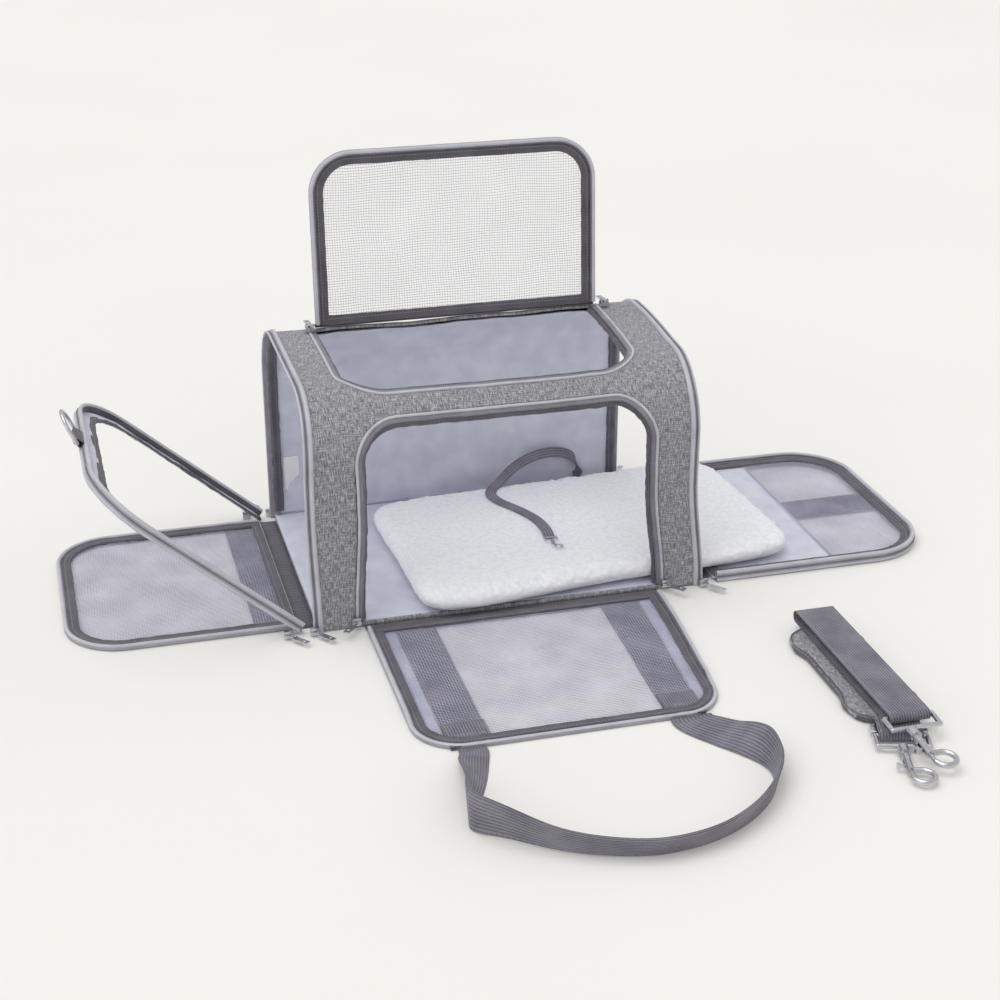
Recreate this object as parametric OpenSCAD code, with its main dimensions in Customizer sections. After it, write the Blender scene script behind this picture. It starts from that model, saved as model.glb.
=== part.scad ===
// Soft-sided pet carrier bag, opened out flat on the floor.
// Millimetres. X runs along the bag, Y to its back, Z up.
// The origin is on the floor, under the middle of the cabin.

/* [Cabin] */
// Length of the fabric wrap along X
body_l = 396; // [376:2:416]
// Width of the cabin over its front and rear walls
body_w = 280; // [268:2:292]
// Height of the cabin
body_h = 236; // [230:2:244]
// Radius of the two long shoulders
shoulder_r = 66; // [60:1:70]
// Thickness of the padded wall
wall = 3; // [2:0.5:4]

/* [Openings] */
// Width of the front opening
front_open_w = 316; // [300:2:322]
// Height of the front opening above its sill
front_open_h = 206; // [190:2:208]
// Width of the top opening
top_open_w = 312; // [300:2:322]
// Front edge of the top opening, from the middle of the cabin
top_open_front = 103; // [96:1:104]
// Radius of the corners of both openings
open_r = 46; // [36:1:52]

/* [End panels] */
// Reach of each end panel's hinge line from the middle of the bag
end_hinge_x = 216; // [214:1:220]
// Length of the end panels from their hinge lines
end_panel_l = 252; // [244:1:258]
// Depth of the end panels' rims
end_rim_h = 12; // [10:0.5:13]
// Angle of the open left frame above the floor
frame_angle = 41; // [30:1:50]
// Length of the left door from its hinge line
left_door_l = 223; // [214:1:224]
// Width of the left door
left_door_w = 256; // [240:2:256]

/* [Front flap] */
// Hinge line of the front flap, in front of the middle of the cabin
front_hinge_y = 151; // [150.5:0.5:153]
// Width of the front flap
front_flap_w = 304; // [294:2:308]
// Length of the front flap
front_flap_l = 236; // [226:1:238]
// Where the flap bends over the shoulder, from its hinge line
front_bend = 190; // [186:1:194]

/* [Top flap] */
// Width of the top flap
top_flap_w = 304; // [290:2:306]
// Length of the top flap
top_flap_l = 181; // [176:1:184]
// Angle of the raised top flap above the roof
top_flap_angle = 86; // [78:1:92]

/* [Pad and webbing] */
// Length of the fleece pad
pad_l = 420; // [400:2:424]
// Width of the fleece pad
pad_w = 248; // [240:2:250]
// Thickness of the fleece pad
pad_h = 22; // [18:1:24]
// Width of the webbing
web_w = 40; // [36:1:42]

/* [Hidden] */
$fn = 48;

// Colours of the finishes
HEATHER = [0.58, 0.58, 0.59];
PIPING = [0.75, 0.75, 0.79];
LINING = [0.66, 0.67, 0.72];
BINDING = [0.38, 0.37, 0.40];
WEBBING = [0.49, 0.48, 0.53];
NETTING = [0.80, 0.81, 0.84];
FLEECE = [0.88, 0.89, 0.92];
CHROME = [0.80, 0.80, 0.82];
BOARD = [0.25, 0.25, 0.26];
WHITE = [0.95, 0.95, 0.95];

// Layers of the wall and of the base, from outside to inside
lining_t = 1.2;
cover_t = 1.2;
board_t = 2.4;
floor_z = cover_t + board_t + lining_t;
piping_d = 5;
zip_t = 2.2;
zip_w = 8;
binding_t = 2;
binding_w = 10;
hoop_d = 2;
rim_tape_w = 5;
seam_z = 222;
front_sill_z = 6;
top_hinge_y = 84;
top_hinge_z = body_h + 1.8;
shoulder_y = body_w / 2 - shoulder_r;
shoulder_z = body_h - shoulder_r;
gap = 0.4;

// Layers of a flap, above its outer face
web_t = 0.9;
net_z = 1.1;
net_t = 1.2;
flap_rim_w = 5;
flap_rim_h = 8;
bent_rim_h = 4.4;
frame_side = 8;
frame_top = 22;
rim_start = 3;
right_net_z = 4.2;
lining_band_l = 142;

pad_x = 107;
pad_y = -11.5;
pad_turn = 3.5;
pad_z = right_net_z + net_t + 2;
pad_r = 22;

// ---------- Shared shapes ----------

// A U-shaped outline: straight side on the X axis, round corners at the far end
module u_outline(w, l, r) {
    translate([-w / 2, 0]) square([w, l - r]);
    translate([-w / 2 + r, 0]) square([w - 2 * r, l]);
    for (side = [-1, 1]) translate([side * (w / 2 - r), l - r]) circle(r);
}

// A band along the three outer sides of that outline
module u_band(w, l, r, side, far) {
    difference() {
        u_outline(w, l, r);
        translate([0, -1]) u_outline(w - 2 * side, l - far + 1, max(r - side, 4));
    }
}

// A slab of a flat shape between two heights
module slab(z0, z1) {
    translate([0, 0, z0]) linear_extrude(z1 - z0) children();
}

// Extrudes a shape drawn across the bag (Y, Z) along X
module along_x(x0, x1) {
    translate([x0, 0, 0]) rotate([90, 0, 90]) linear_extrude(x1 - x0) children();
}

// Extrudes a shape drawn in X and Z backwards along Y
module along_y(y0, y1) {
    translate([0, y1, 0]) rotate([90, 0, 0]) linear_extrude(y1 - y0) children();
}

// The cabin's arch, grown outwards by a distance
module arch(grow) {
    u_outline(body_w + 2 * grow, body_h + grow, shoulder_r + grow);
}

// A length of the cabin's wall between two distances from its outer face
module arch_shell(x0, x1, outer, inner) {
    along_x(x0, x1) difference() {
        arch(outer);
        translate([0, -1]) u_outline(body_w + 2 * inner, body_h + inner + 1, shoulder_r + inner);
    }
}

// A round cord bent along the arch
module arch_cord(x, grow, d) {
    r = shoulder_r + grow;
    for (side = [-1, 1]) {
        translate([x, side * (body_w / 2 + grow), 0]) cylinder(h = shoulder_z, d = d);
        translate([x, side * shoulder_y, shoulder_z])
            rotate([90, 0, side > 0 ? 90 : -90])
                rotate_extrude(angle = 90) translate([r, 0]) circle(d = d);
    }
    translate([x, -shoulder_y, body_h + grow])
        rotate([-90, 0, 0]) cylinder(h = 2 * shoulder_y, d = d);
}

// The front opening, and the band that runs round it
module front_opening_shape() {
    translate([0, front_sill_z]) u_outline(front_open_w, front_open_h, open_r);
}
module front_opening_band(w) {
    translate([0, front_sill_z])
        u_band(front_open_w + 2 * w, front_open_h + w, open_r + w, w, w);
}

// The top opening, and the band that runs round it
module top_opening_shape() {
    translate([0, top_hinge_y]) rotate(180)
        u_outline(top_open_w, top_hinge_y + top_open_front, open_r);
}
module top_opening_band(w) {
    translate([0, top_hinge_y]) rotate(180)
        u_band(top_open_w + 2 * w, top_hinge_y + top_open_front + w, open_r + w, w, w);
}

// Half spaces that divide the wrap at its seams
module below_seam(side) {
    translate([-body_l, side > 0 ? 0 : -body_w, 0]) cube([2 * body_l, body_w, seam_z]);
}
module above_seam() {
    translate([-body_l, -body_w, seam_z]) cube([2 * body_l, 2 * body_w, body_h]);
}

// Places of the flaps, each drawn flat with its hinge line on the X axis
module at_front_flap() { translate([0, -front_hinge_y, 0]) rotate([0, 0, 180]) children(); }
module at_top_flap() {
    translate([0, top_hinge_y, top_hinge_z]) rotate([top_flap_angle, 0, 0]) children();
}
module at_left_frame() {
    translate([-end_hinge_x, 0, 0]) rotate([0, frame_angle, 0]) rotate([0, 0, 90]) children();
}
module at_left_door() { translate([-end_hinge_x, 0, 0]) rotate([0, 0, 90]) children(); }
module at_right_panel() { translate([end_hinge_x, 0, 0]) rotate([0, 0, -90]) children(); }

// ---------- Cabin ----------

module front_panel() {
    color(HEATHER) difference() {
        intersection() {
            arch_shell(-body_l / 2, body_l / 2, 0, -wall);
            below_seam(-1);
        }
        along_y(-body_w, 0) front_opening_shape();
    }
}

module rear_panel() {
    color(HEATHER) intersection() {
        arch_shell(-body_l / 2, body_l / 2, 0, -wall);
        below_seam(1);
    }
}

module roof_panel() {
    color(HEATHER) difference() {
        intersection() {
            arch_shell(-body_l / 2, body_l / 2, 0, -wall);
            above_seam();
        }
        slab(seam_z - 1, body_h + 1) top_opening_shape();
    }
}

module cabin_lining() {
    color(LINING) difference() {
        arch_shell(-body_l / 2, body_l / 2, -wall, -wall - lining_t);
        translate([0, 0, -1]) cube([2 * body_l, 2 * body_w, 2 * floor_z + 2], center = true);
        along_y(-body_w, 0) front_opening_shape();
        slab(seam_z - 1, body_h + 1) top_opening_shape();
    }
}

// The base is a board between its outer cover and the floor lining
module base_sheet(z0, z1, inset) {
    translate([-body_l / 2 + inset, -body_w / 2 + wall + inset, z0])
        cube([body_l - 2 * inset, body_w - 2 * wall - 2 * inset, z1 - z0]);
}
module base_cover() { color(HEATHER) base_sheet(0, cover_t, 0); }
module base_board() { color(BOARD) base_sheet(cover_t, cover_t + board_t, 4); }
module floor_lining() { color(LINING) base_sheet(cover_t + board_t, floor_z, 0); }

// The rims at the two ends: piping outside, and a wire in a binding inside
module end_piping(side) {
    x0 = side > 0 ? body_l / 2 : -body_l / 2 - rim_tape_w;
    color(PIPING) {
        difference() {
            arch_cord(side * (body_l / 2 - piping_d / 2), 0, piping_d);
            arch_shell(-body_l, body_l, 0, -wall - 3);
        }
        arch_shell(x0, x0 + rim_tape_w, 1, -1);
    }
}
module end_binding(side) {
    x0 = side > 0 ? body_l / 2 - binding_w : -body_l / 2;
    color(BINDING) difference() {
        arch_shell(x0, x0 + binding_w, -wall - lining_t, -wall - lining_t - 4);
        translate([0, 0, -1]) cube([2 * body_l, 2 * body_w, 2 * floor_z + 2], center = true);
        hoop_wire(side);
    }
}
module hoop_wire(side) {
    color(CHROME) difference() {
        arch_cord(side * (body_l / 2 - binding_w / 2), -wall - lining_t - 2, hoop_d);
        translate([0, 0, -1]) cube([2 * body_l, 2 * body_w, 2 * floor_z + 2], center = true);
    }
}
module rim_piping() { for (side = [-1, 1]) end_piping(side); }
module rim_bindings() { for (side = [-1, 1]) end_binding(side); }
module hoop_wires() { for (side = [-1, 1]) hoop_wire(side); }

// Zip halves and bindings round the two openings
module front_opening_zip() {
    color(PIPING) intersection() {
        arch_shell(-body_l / 2, body_l / 2, zip_t, 0);
        along_y(-body_w, 0) front_opening_band(zip_w);
    }
}
module front_opening_binding() {
    color(BINDING) intersection() {
        arch_shell(-body_l / 2, body_l / 2, -wall - lining_t, -wall - lining_t - binding_t);
        along_y(-body_w, 0) front_opening_band(binding_w);
    }
}
module top_opening_zip() {
    color(PIPING) intersection() {
        arch_shell(-body_l / 2, body_l / 2, zip_t, 0);
        slab(seam_z, body_h + zip_t) top_opening_band(zip_w);
    }
}
module top_opening_binding() {
    color(BINDING) intersection() {
        arch_shell(-body_l / 2, body_l / 2, -wall - lining_t, -wall - lining_t - binding_t);
        slab(seam_z + 0.4, body_h) top_opening_band(binding_w);
    }
}

// Tapes that join the base to the three flaps, and the roof to its flap
module hinge_tapes() {
    reach = end_hinge_x - body_l / 2;
    tape_t = 0.8;
    color(BINDING) {
        for (side = [-1, 1])
            translate([side * (body_l / 2 + reach / 2), 0, tape_t / 2])
                cube([reach - 2 * gap, left_door_w, tape_t], center = true);
        translate([-front_flap_w / 2, -front_hinge_y + gap, 0])
            cube([front_flap_w, front_hinge_y - body_w / 2 - gap, tape_t]);
        translate([-top_flap_w / 2, top_hinge_y + gap, body_h])
            cube([top_flap_w, 8, 1.4]);
    }
}

module care_label() {
    color(WHITE) translate([-186, body_w / 2 - wall - lining_t - 0.8, 33]) cube([18, 0.8, 40]);
}

// ---------- Rear webbing and handle ----------

web_x = 105;
rear_handle_z = shoulder_z + 16;
rear_y = body_w / 2 + 2.4;

module rear_webbing() {
    color(WEBBING) for (side = [-1, 1])
        translate([side * web_x - web_w / 2, body_w / 2, 3]) cube([web_w, 1.6, shoulder_z]);
}

// A ribbon swept through stations of centre, width, turn and thickness.
// A turn of 0 lays the ribbon flat, and 90 stands it on its edge.
function spline(a, b, c, d, t) = 0.5 * (2 * b + (c - a) * t
    + (2 * a - 5 * b + 4 * c - d) * t * t + (3 * b - a - 3 * c + d) * t * t * t);
function station(list, i) = list[min(max(i, 0), len(list) - 1)];
function refine(list, n) = [for (i = [0 : len(list) - 2], k = [0 : n - 1])
    spline(station(list, i - 1), list[i], list[i + 1], station(list, i + 2), k / n),
    list[len(list) - 1]];
function place(s) = [s[0], s[1], s[2]];
function unit(v) = v / norm(v);
function ribbon_ring(list, i) =
    let (s = list[i],
         dir = unit(place(station(list, i + 1)) - place(station(list, i - 1))),
         flat = unit(cross(dir, [0, 0, 1])),
         up = cross(flat, dir),
         across = flat * cos(s[4]) + up * sin(s[4]),
         through = up * cos(s[4]) - flat * sin(s[4]))
    [for (c = [[-1, -1], [1, -1], [1, 1], [-1, 1]])
        place(s) + across * c[0] * s[3] / 2 + through * c[1] * s[5] / 2];
module ribbon(list, n) {
    fine = refine(list, n);
    count = len(fine);
    points = [for (i = [0 : count - 1]) each ribbon_ring(fine, i)];
    polyhedron(points, concat(
        [[3, 2, 1, 0]],
        [for (i = [0 : count - 2], k = [0 : 3])
            [4 * i + k, 4 * i + (k + 1) % 4, 4 * i + 4 + (k + 1) % 4, 4 * i + 4 + k]],
        [[for (k = [0 : 3]) 4 * count - 4 + k]]));
}

// The rear handle hangs flat down the rear wall
module rear_handle() {
    color(WEBBING) along_y(rear_y, rear_y + 3) translate([0, rear_handle_z]) mirror([0, 1])
        difference() {
            u_outline(2 * web_x + web_w, 176, 60);
            translate([0, -1]) u_outline(2 * web_x - web_w, 152, 30);
        }
}

// ---------- Front flap ----------

// A flap's parts between two distances from its hinge line
module between(l0, l1) {
    intersection() {
        children();
        translate([-body_l, l0, -1]) cube([2 * body_l, l1 - l0, 40]);
    }
}
module flap_mesh(w, l, r, z0) {
    color(NETTING) slab(z0, z0 + net_t)
        translate([0, 1]) u_outline(w - 2 * flap_rim_w, l - flap_rim_w - 1, r - flap_rim_w);
}
module flap_zip(w, l, r, h) {
    color(PIPING) between(rim_start, l + 1) slab(0, h) u_band(w, l, r, flap_rim_w, flap_rim_w);
}
module flap_binding(w, l, r, z0) {
    color(BINDING) {
        between(1, l) slab(z0, z0 + 1.6)
            u_band(w - 2 * flap_rim_w, l - flap_rim_w, r - flap_rim_w, binding_w, binding_w);
        translate([-w / 2 + flap_rim_w + binding_w, 1, z0])
            cube([w - 2 * (flap_rim_w + binding_w), binding_w, 1.6]);
    }
}

binding_z = net_z + net_t;
module front_mesh() {
    at_front_flap() between(0, front_bend - 1.5)
        flap_mesh(front_flap_w, front_flap_l, open_r, net_z);
}
module front_mesh_top() {
    at_front_flap() between(front_bend + 1.5, front_flap_l)
        flap_mesh(front_flap_w, front_flap_l, open_r, net_z);
}
module front_flap_zip() {
    at_front_flap() between(0, front_bend - 1.5)
        flap_zip(front_flap_w, front_flap_l, open_r, flap_rim_h);
}
module front_flap_zip_top() {
    at_front_flap() between(front_bend + 1.5, front_flap_l + 1)
        flap_zip(front_flap_w, front_flap_l, open_r, bent_rim_h);
}
module front_flap_binding() {
    at_front_flap() between(0, front_bend - 1.5)
        flap_binding(front_flap_w, front_flap_l, open_r, binding_z);
}
module front_flap_webbing() {
    color(WEBBING) at_front_flap() for (side = [-1, 1])
        translate([side * web_x - web_w / 2, 1, 0]) cube([web_w, front_bend - 2.5, web_t]);
}

// The front handle lies on the floor: x, y, z, width, turn, thickness
handle_start = -(front_hinge_y + front_flap_l + 0.6);
handle_route = [
    [-106, handle_start, 1, 26, 0, 1.6],
    [-106, handle_start - 3, 1, 26, 0, 1.6],
    [-106, handle_start - 9, 1.4, 26, 2, 1.6],
    [-112, -416, 4, 28, 18, 1.6],
    [-120, -446, 10, 32, 48, 1.6],
    [-131, -480, 17, 38, 76, 1.6],
    [-138, -508, 20, 40, 88, 1.6],
    [-114, -530, 18, 35, 83, 2],
    [-78, -556, 13, 25, 78, 2.8],
    [-40, -574, 11, 21, 74, 3.4],
    [2, -584, 10.5, 21, 68, 3.4],
    [48, -578, 10.5, 21, 68, 3.4],
    [88, -558, 11, 21, 75, 3.4],
    [118, -530, 12, 22, 80, 3],
    [134, -501, 13, 25, 74, 2.4],
    [135, -474, 14, 31, 58, 1.8],
    [129, -449, 10, 36, 30, 1.6],
    [117, -426, 4, 40, 9, 1.6],
    [104, -408, 2, 40, 4, 1.6],
    [98, handle_start - 9, 1.2, 40, 1, 1.6],
    [98, handle_start - 3, 1, 40, 0, 1.6],
    [98, handle_start, 1, 40, 0, 1.6]];
module front_handle() {
    color(WEBBING) ribbon(handle_route, 3);
}

// ---------- Top flap ----------

module top_mesh() { at_top_flap() flap_mesh(top_flap_w, top_flap_l, open_r - 2, net_z); }
module top_flap_zip() { at_top_flap() flap_zip(top_flap_w, top_flap_l, open_r - 2, flap_rim_h); }
module top_flap_binding() {
    at_top_flap() flap_binding(top_flap_w, top_flap_l, open_r - 2, binding_z);
}

// ---------- Left end: frame and door ----------

module left_frame_gusset() {
    color(PIPING) at_left_frame() between(rim_start, end_panel_l + 1)
        slab(0, end_rim_h) u_band(body_w, end_panel_l, shoulder_r, 2.4, 2.4);
}
module left_frame_lining() {
    color(LINING) at_left_frame() between(rim_start, end_panel_l) slab(0.8, 2.4)
        u_band(body_w - 4.8, end_panel_l - 2.4, shoulder_r - 2.4, frame_side, frame_top);
}
module left_frame_binding() {
    color(BINDING) at_left_frame() between(rim_start, end_panel_l) slab(2.4, 4.6)
        intersection() {
            u_band(body_w - 4.8, end_panel_l - 2.4, shoulder_r - 2.4, frame_side, frame_top);
            translate([0, -6]) u_band(body_w - 4.8, end_panel_l - 2.4 - frame_top + 16,
                shoulder_r - 2.4, frame_side, 10);
        }
}

// A D-shaped ring in a flat plane: straight bar on the X axis
module d_ring(w, d) {
    r = w / 2 - d / 2;
    translate([-r, 0, 0]) rotate([0, 90, 0]) cylinder(h = 2 * r, d = d);
    for (side = [-1, 1]) {
        translate([side * r, 0, 0]) sphere(d = d);
        translate([side * r, 0, 0]) rotate([-90, 0, 0]) cylinder(h = 9, d = d);
    }
    translate([0, 9, 0]) rotate_extrude(angle = 180) translate([r, 0]) circle(d = d);
}
ring_w = 44;
ring_d = 4;
flat_ring_w = 40;
flat_ring_d = 3;
ring_fit = 0.2;
tab_w = 30;
ring_tab_l = 7;
// How far the ring stands up from the frame
ring_lift = 25;
module left_ring_tab() {
    color(BINDING) at_left_frame() translate([0, end_panel_l, 2.6]) difference() {
        translate([-tab_w / 2, 0, 0]) cube([tab_w, ring_tab_l + 4, 7.4]);
        translate([-tab_w / 2 - 1, ring_tab_l, 3.7]) rotate([0, 90, 0])
            cylinder(h = tab_w + 2, d = ring_d + ring_fit);
    }
}
module left_d_ring() {
    color(CHROME) at_left_frame() translate([0, end_panel_l + ring_tab_l, 6.3])
        rotate([ring_lift, 0, 0]) d_ring(ring_w, ring_d);
}

module left_mesh() { at_left_door() flap_mesh(left_door_w, left_door_l, 58, net_z); }
module left_door_zip() { at_left_door() flap_zip(left_door_w, left_door_l, 58, flap_rim_h - 2); }
module left_door_binding() { at_left_door() flap_binding(left_door_w, left_door_l, 58, binding_z); }
module left_door_webbing() {
    color(WEBBING) at_left_door()
        translate([-left_door_w / 2 + flap_rim_w, 1, 0])
            cube([left_door_w - 2 * flap_rim_w, web_w, web_t]);
}

// ---------- Right end panel ----------

module right_mesh() {
    at_right_panel() between(lining_band_l, end_panel_l)
        flap_mesh(body_w, end_panel_l, shoulder_r, right_net_z);
}
module right_panel_gusset() {
    color(PIPING) at_right_panel() between(rim_start, end_panel_l + 1)
        slab(0, end_rim_h) u_band(body_w, end_panel_l, shoulder_r, flap_rim_w, flap_rim_w);
}
module right_panel_binding() {
    at_right_panel() flap_binding(body_w, end_panel_l, shoulder_r, right_net_z + net_t);
}
module right_panel_lining() {
    color(LINING) at_right_panel() translate([-body_w / 2 + flap_rim_w, 1, 0])
        cube([body_w - 2 * flap_rim_w, lining_band_l - 1, right_net_z + net_t]);
}
right_ring_l = 214;
flat_ring_z = 2;
module right_panel_webbing() {
    color(WEBBING) at_right_panel() {
        translate([-web_w / 2, lining_band_l, right_net_z - web_t])
            cube([web_w, right_ring_l - 4 - lining_band_l, web_t]);
        difference() {
            translate([-tab_w / 2, right_ring_l - 4, 0]) cube([tab_w, 9, right_net_z]);
            translate([-tab_w / 2 - 1, right_ring_l, flat_ring_z]) rotate([0, 90, 0])
                cylinder(h = tab_w + 2, d = flat_ring_d + ring_fit);
        }
    }
}
module right_d_ring() {
    color(CHROME) at_right_panel() translate([0, right_ring_l, flat_ring_z])
        d_ring(flat_ring_w, flat_ring_d);
}

// ---------- Fleece pad ----------

module fleece_pad() {
    color(FLEECE) translate([pad_x, pad_y, pad_z]) rotate([0, 0, pad_turn]) linear_extrude(pad_h) {
        translate([-pad_l / 2, -pad_w / 2 + pad_r]) square([pad_l, pad_w - 2 * pad_r]);
        translate([-pad_l / 2 + pad_r, -pad_w / 2]) square([pad_l - 2 * pad_r, pad_w]);
        for (sx = [-1, 1], sy = [-1, 1])
            translate([sx * (pad_l / 2 - pad_r), sy * (pad_w / 2 - pad_r)]) circle(pad_r);
    }
}

// ---------- Tether ----------

// x, y, z, width, turn, thickness
tether_top = pad_z + pad_h + 1.2;
tether_route = [
    [152, 132, 8, 12, 0, 1.6],
    [152, 130, 26, 12, 20, 1.6],
    [143, 127, 42, 12, 50, 1.6],
    [122, 124, 50, 12, 60, 1.6],
    [96, 120, 49, 12, 50, 1.6],
    [72, 112, 42, 12, 30, 1.6],
    [52, 98, tether_top + 3, 12, 10, 1.6],
    [38, 84, tether_top, 12, 0, 1.6],
    [33, 68, tether_top, 12, 0, 1.6],
    [37, 50, tether_top, 12, 0, 1.6],
    [47, 32, tether_top, 12, 0, 1.6],
    [57, 12, tether_top, 12, 0, 1.6],
    [64, -10, tether_top, 12, 0, 1.6],
    [66, -32, tether_top, 12, 0, 1.6],
    [64, -53, tether_top, 12, 0, 1.6]];
module tether_tape() {
    color(WEBBING) ribbon(tether_route, 3);
}

// Clearance on the diameter of a stem or a bolt in its bore
bolt_fit = 0.16;
// A swivel snap hook lies flat with its eye's bar on the X axis and its hook along -Y.
// The eye is a wire frame whose stem turns in the hook's barrel; aside shifts the frame along X.
module hook_eye(w, k, aside = 0) {
    d = 4 * k;
    drop = 15 * k;
    translate([aside, 0, 0]) {
        for (y = [0, -drop]) translate([-w / 2, y, 0]) rotate([0, 90, 0]) cylinder(h = w, d = d);
        for (side = [-1, 1]) {
            translate([side * w / 2, 0, 0]) rotate([90, 0, 0]) cylinder(h = drop, d = d);
            for (y = [0, -drop]) translate([side * w / 2, y, 0]) sphere(d = d);
        }
    }
    translate([0, -drop, 0]) rotate([90, 0, 0]) cylinder(h = 10 * k, d = d);
}
// The hook: barrel, shank with a bore and a slot for the bolt, and the open loop
module hook_body(k) {
    r = 8.5 * k;
    loop_y = -57 * k;
    difference() {
        union() {
            translate([0, -18 * k, 0]) rotate([90, 0, 0]) cylinder(h = 9 * k, d = 9 * k);
            translate([0, -27 * k, 0]) rotate([90, 0, 0]) cylinder(h = 23 * k, d = 6.4 * k);
        }
        translate([0, -17 * k, 0]) rotate([90, 0, 0]) cylinder(h = 8.6 * k, d = 4 * k + bolt_fit);
        translate([0, -31 * k, 0]) rotate([90, 0, 0]) cylinder(h = 20 * k, d = 3.8 * k);
        translate([-5 * k, -45 * k, -1.3 * k]) cube([5 * k, 10 * k, 2.6 * k]);
    }
    translate([2.2 * k, loop_y + r, 0]) rotate([0, 90, 0]) cylinder(h = 6.3 * k, d = 4.6 * k);
    translate([r, loop_y, 0]) rotate([0, 0, -170]) rotate_extrude(angle = 260)
        translate([r, 0]) circle(d = 4.6 * k);
}
// The sliding bolt that closes the loop, and its thumb tab
module hook_bolt(k) {
    translate([0, -38 * k, 0]) rotate([90, 0, 0]) cylinder(h = 19.8 * k, d = 3.8 * k - bolt_fit);
    translate([-8 * k, -44 * k, -k]) cube([8 * k, 2.5 * k, 2 * k]);
    translate([-9 * k, -44.5 * k, -2 * k]) cube([2.6 * k, 3.5 * k, 4 * k]);
}
clip_k = 0.4;
module tether_clip() {
    color(CHROME) translate([64, -54.6, tether_top + 1.2]) {
        hook_eye(13, clip_k);
        hook_body(clip_k);
        hook_bolt(clip_k);
    }
}

// ---------- Zip sliders and pulls ----------

// A slider's body, with two lugs that hold its pull's pin above the origin
module slider() {
    translate([-4.5, -4, -3]) cube([9, 8, 4]);
    for (side = [-1, 1]) translate([side * 3.8 - 0.6, -1.4, 1]) cube([1.2, 2.8, 2.6]);
}
// A pull on a pin along X, its narrow neck and plate pointing away at an angle from the X axis
module pull(angle, l) {
    rotate([0, 90, 0]) cylinder(h = 5.2, d = 1.6, center = true);
    rotate([0, 0, angle]) {
        translate([0, -1, -0.7]) cube([6.5, 2, 1.4]);
        difference() {
            translate([6, -pull_w / 2, -0.7]) cube([l - 6, pull_w, 1.4]);
            translate([l - 5, 0, -1]) cylinder(h = 2, d = 3.4);
        }
    }
}
pull_w = 6;
pin_z = 2.4;
// Where the sliders are parked, at the ends of their zips
front_slider = [front_open_w / 2 + 3, -body_w / 2 - 5.6, 9];
top_slider = [top_open_w / 2 + 4, top_hinge_y - 12, body_h + 5.4];
end_slider_x = [-end_hinge_x - 12, -body_l / 2 - 4.4, body_l / 2 + 4.4];
end_slider_y = body_w / 2 + 5.9;
end_slider_z = 4;
module zip_sliders() {
    color(CHROME) for (side = [-1, 1]) {
        translate([side * front_slider[0], front_slider[1], front_slider[2]])
            rotate([90, 0, 0]) slider();
        translate([side * top_slider[0], top_slider[1], top_slider[2]]) slider();
        for (x = end_slider_x) translate([x, side * end_slider_y, end_slider_z])
            rotate([-side * 90, 0, 0]) slider();
    }
}
module front_zip_pulls() {
    color(CHROME) for (side = [-1, 1])
        translate([side * front_slider[0], front_slider[1] - pin_z, front_slider[2]])
            pull(-90 + side * 40, 22);
}
module top_zip_pulls() {
    color(CHROME) for (side = [-1, 1])
        translate([side * top_slider[0], top_slider[1], top_slider[2] + pin_z])
            rotate([-6, 0, 0]) pull(90, 22);
}
module end_zip_pulls(side) {
    color(CHROME) for (x = end_slider_x)
        translate([x, side * (end_slider_y + pin_z), end_slider_z]) pull(side * 50, 24);
}
module end_front_zip_pulls() { end_zip_pulls(-1); }
module end_rear_zip_pulls() { end_zip_pulls(1); }

// ---------- Shoulder strap ----------

strap_x = 272;
strap_y = -356;
strap_pad_h = 8;
strap_t = 1.6;
hook_k = 1.15;
bar_gap = 0.4;
// Heights of the three runs of webbing on the pad, and of the run to the left hook
run_z = [strap_pad_h + 0.3, strap_pad_h + 2.4, strap_pad_h + 11];
upper_web_x = 275;
lower_web_x = 262;
right_hook_x = 268;
rear_fold_y = -258;
front_fold_y = -460;
left_bar_y = -474;
left_bar_z = 5.4;
left_yaw = -16;
right_bar_z = (run_z[1] + run_z[2] + strap_t) / 2;
hook_tilt = 4.5;

// The pad is waisted: wide near both ends, narrower between
module strap_pad_shape() {
    for (end = [-1, 1]) hull() {
        for (side = [-1, 1]) translate([side * 20, end * 76]) circle(16);
        translate([0, end * 44]) square([66, 20], center = true);
        translate([0, end * 62]) square([76, 16], center = true);
    }
    square([64, 80], center = true);
}
module strap_pad() {
    color(HEATHER) translate([strap_x, strap_y, 0]) linear_extrude(strap_pad_h) strap_pad_shape();
}

// A half ring that joins a lower run to an upper one, drawn in Y and Z
module fold(y, z0, z1, side) {
    r = (z1 + strap_t - z0) / 2;
    translate([y, z0 + r]) intersection() {
        difference() {
            circle(r);
            circle(r - strap_t);
        }
        translate([side > 0 ? 0 : -2 * r, -r]) square([2 * r, 2 * r]);
    }
}
// Where the left hook's bar lies, turned a little on the floor
loop_r = 2 * hook_k + bar_gap + strap_t;
lower_run_l = front_fold_y + 14 - left_bar_y;
module at_left_bar() {
    translate([lower_web_x, left_bar_y, left_bar_z]) rotate([0, 0, left_yaw]) children();
}
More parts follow.
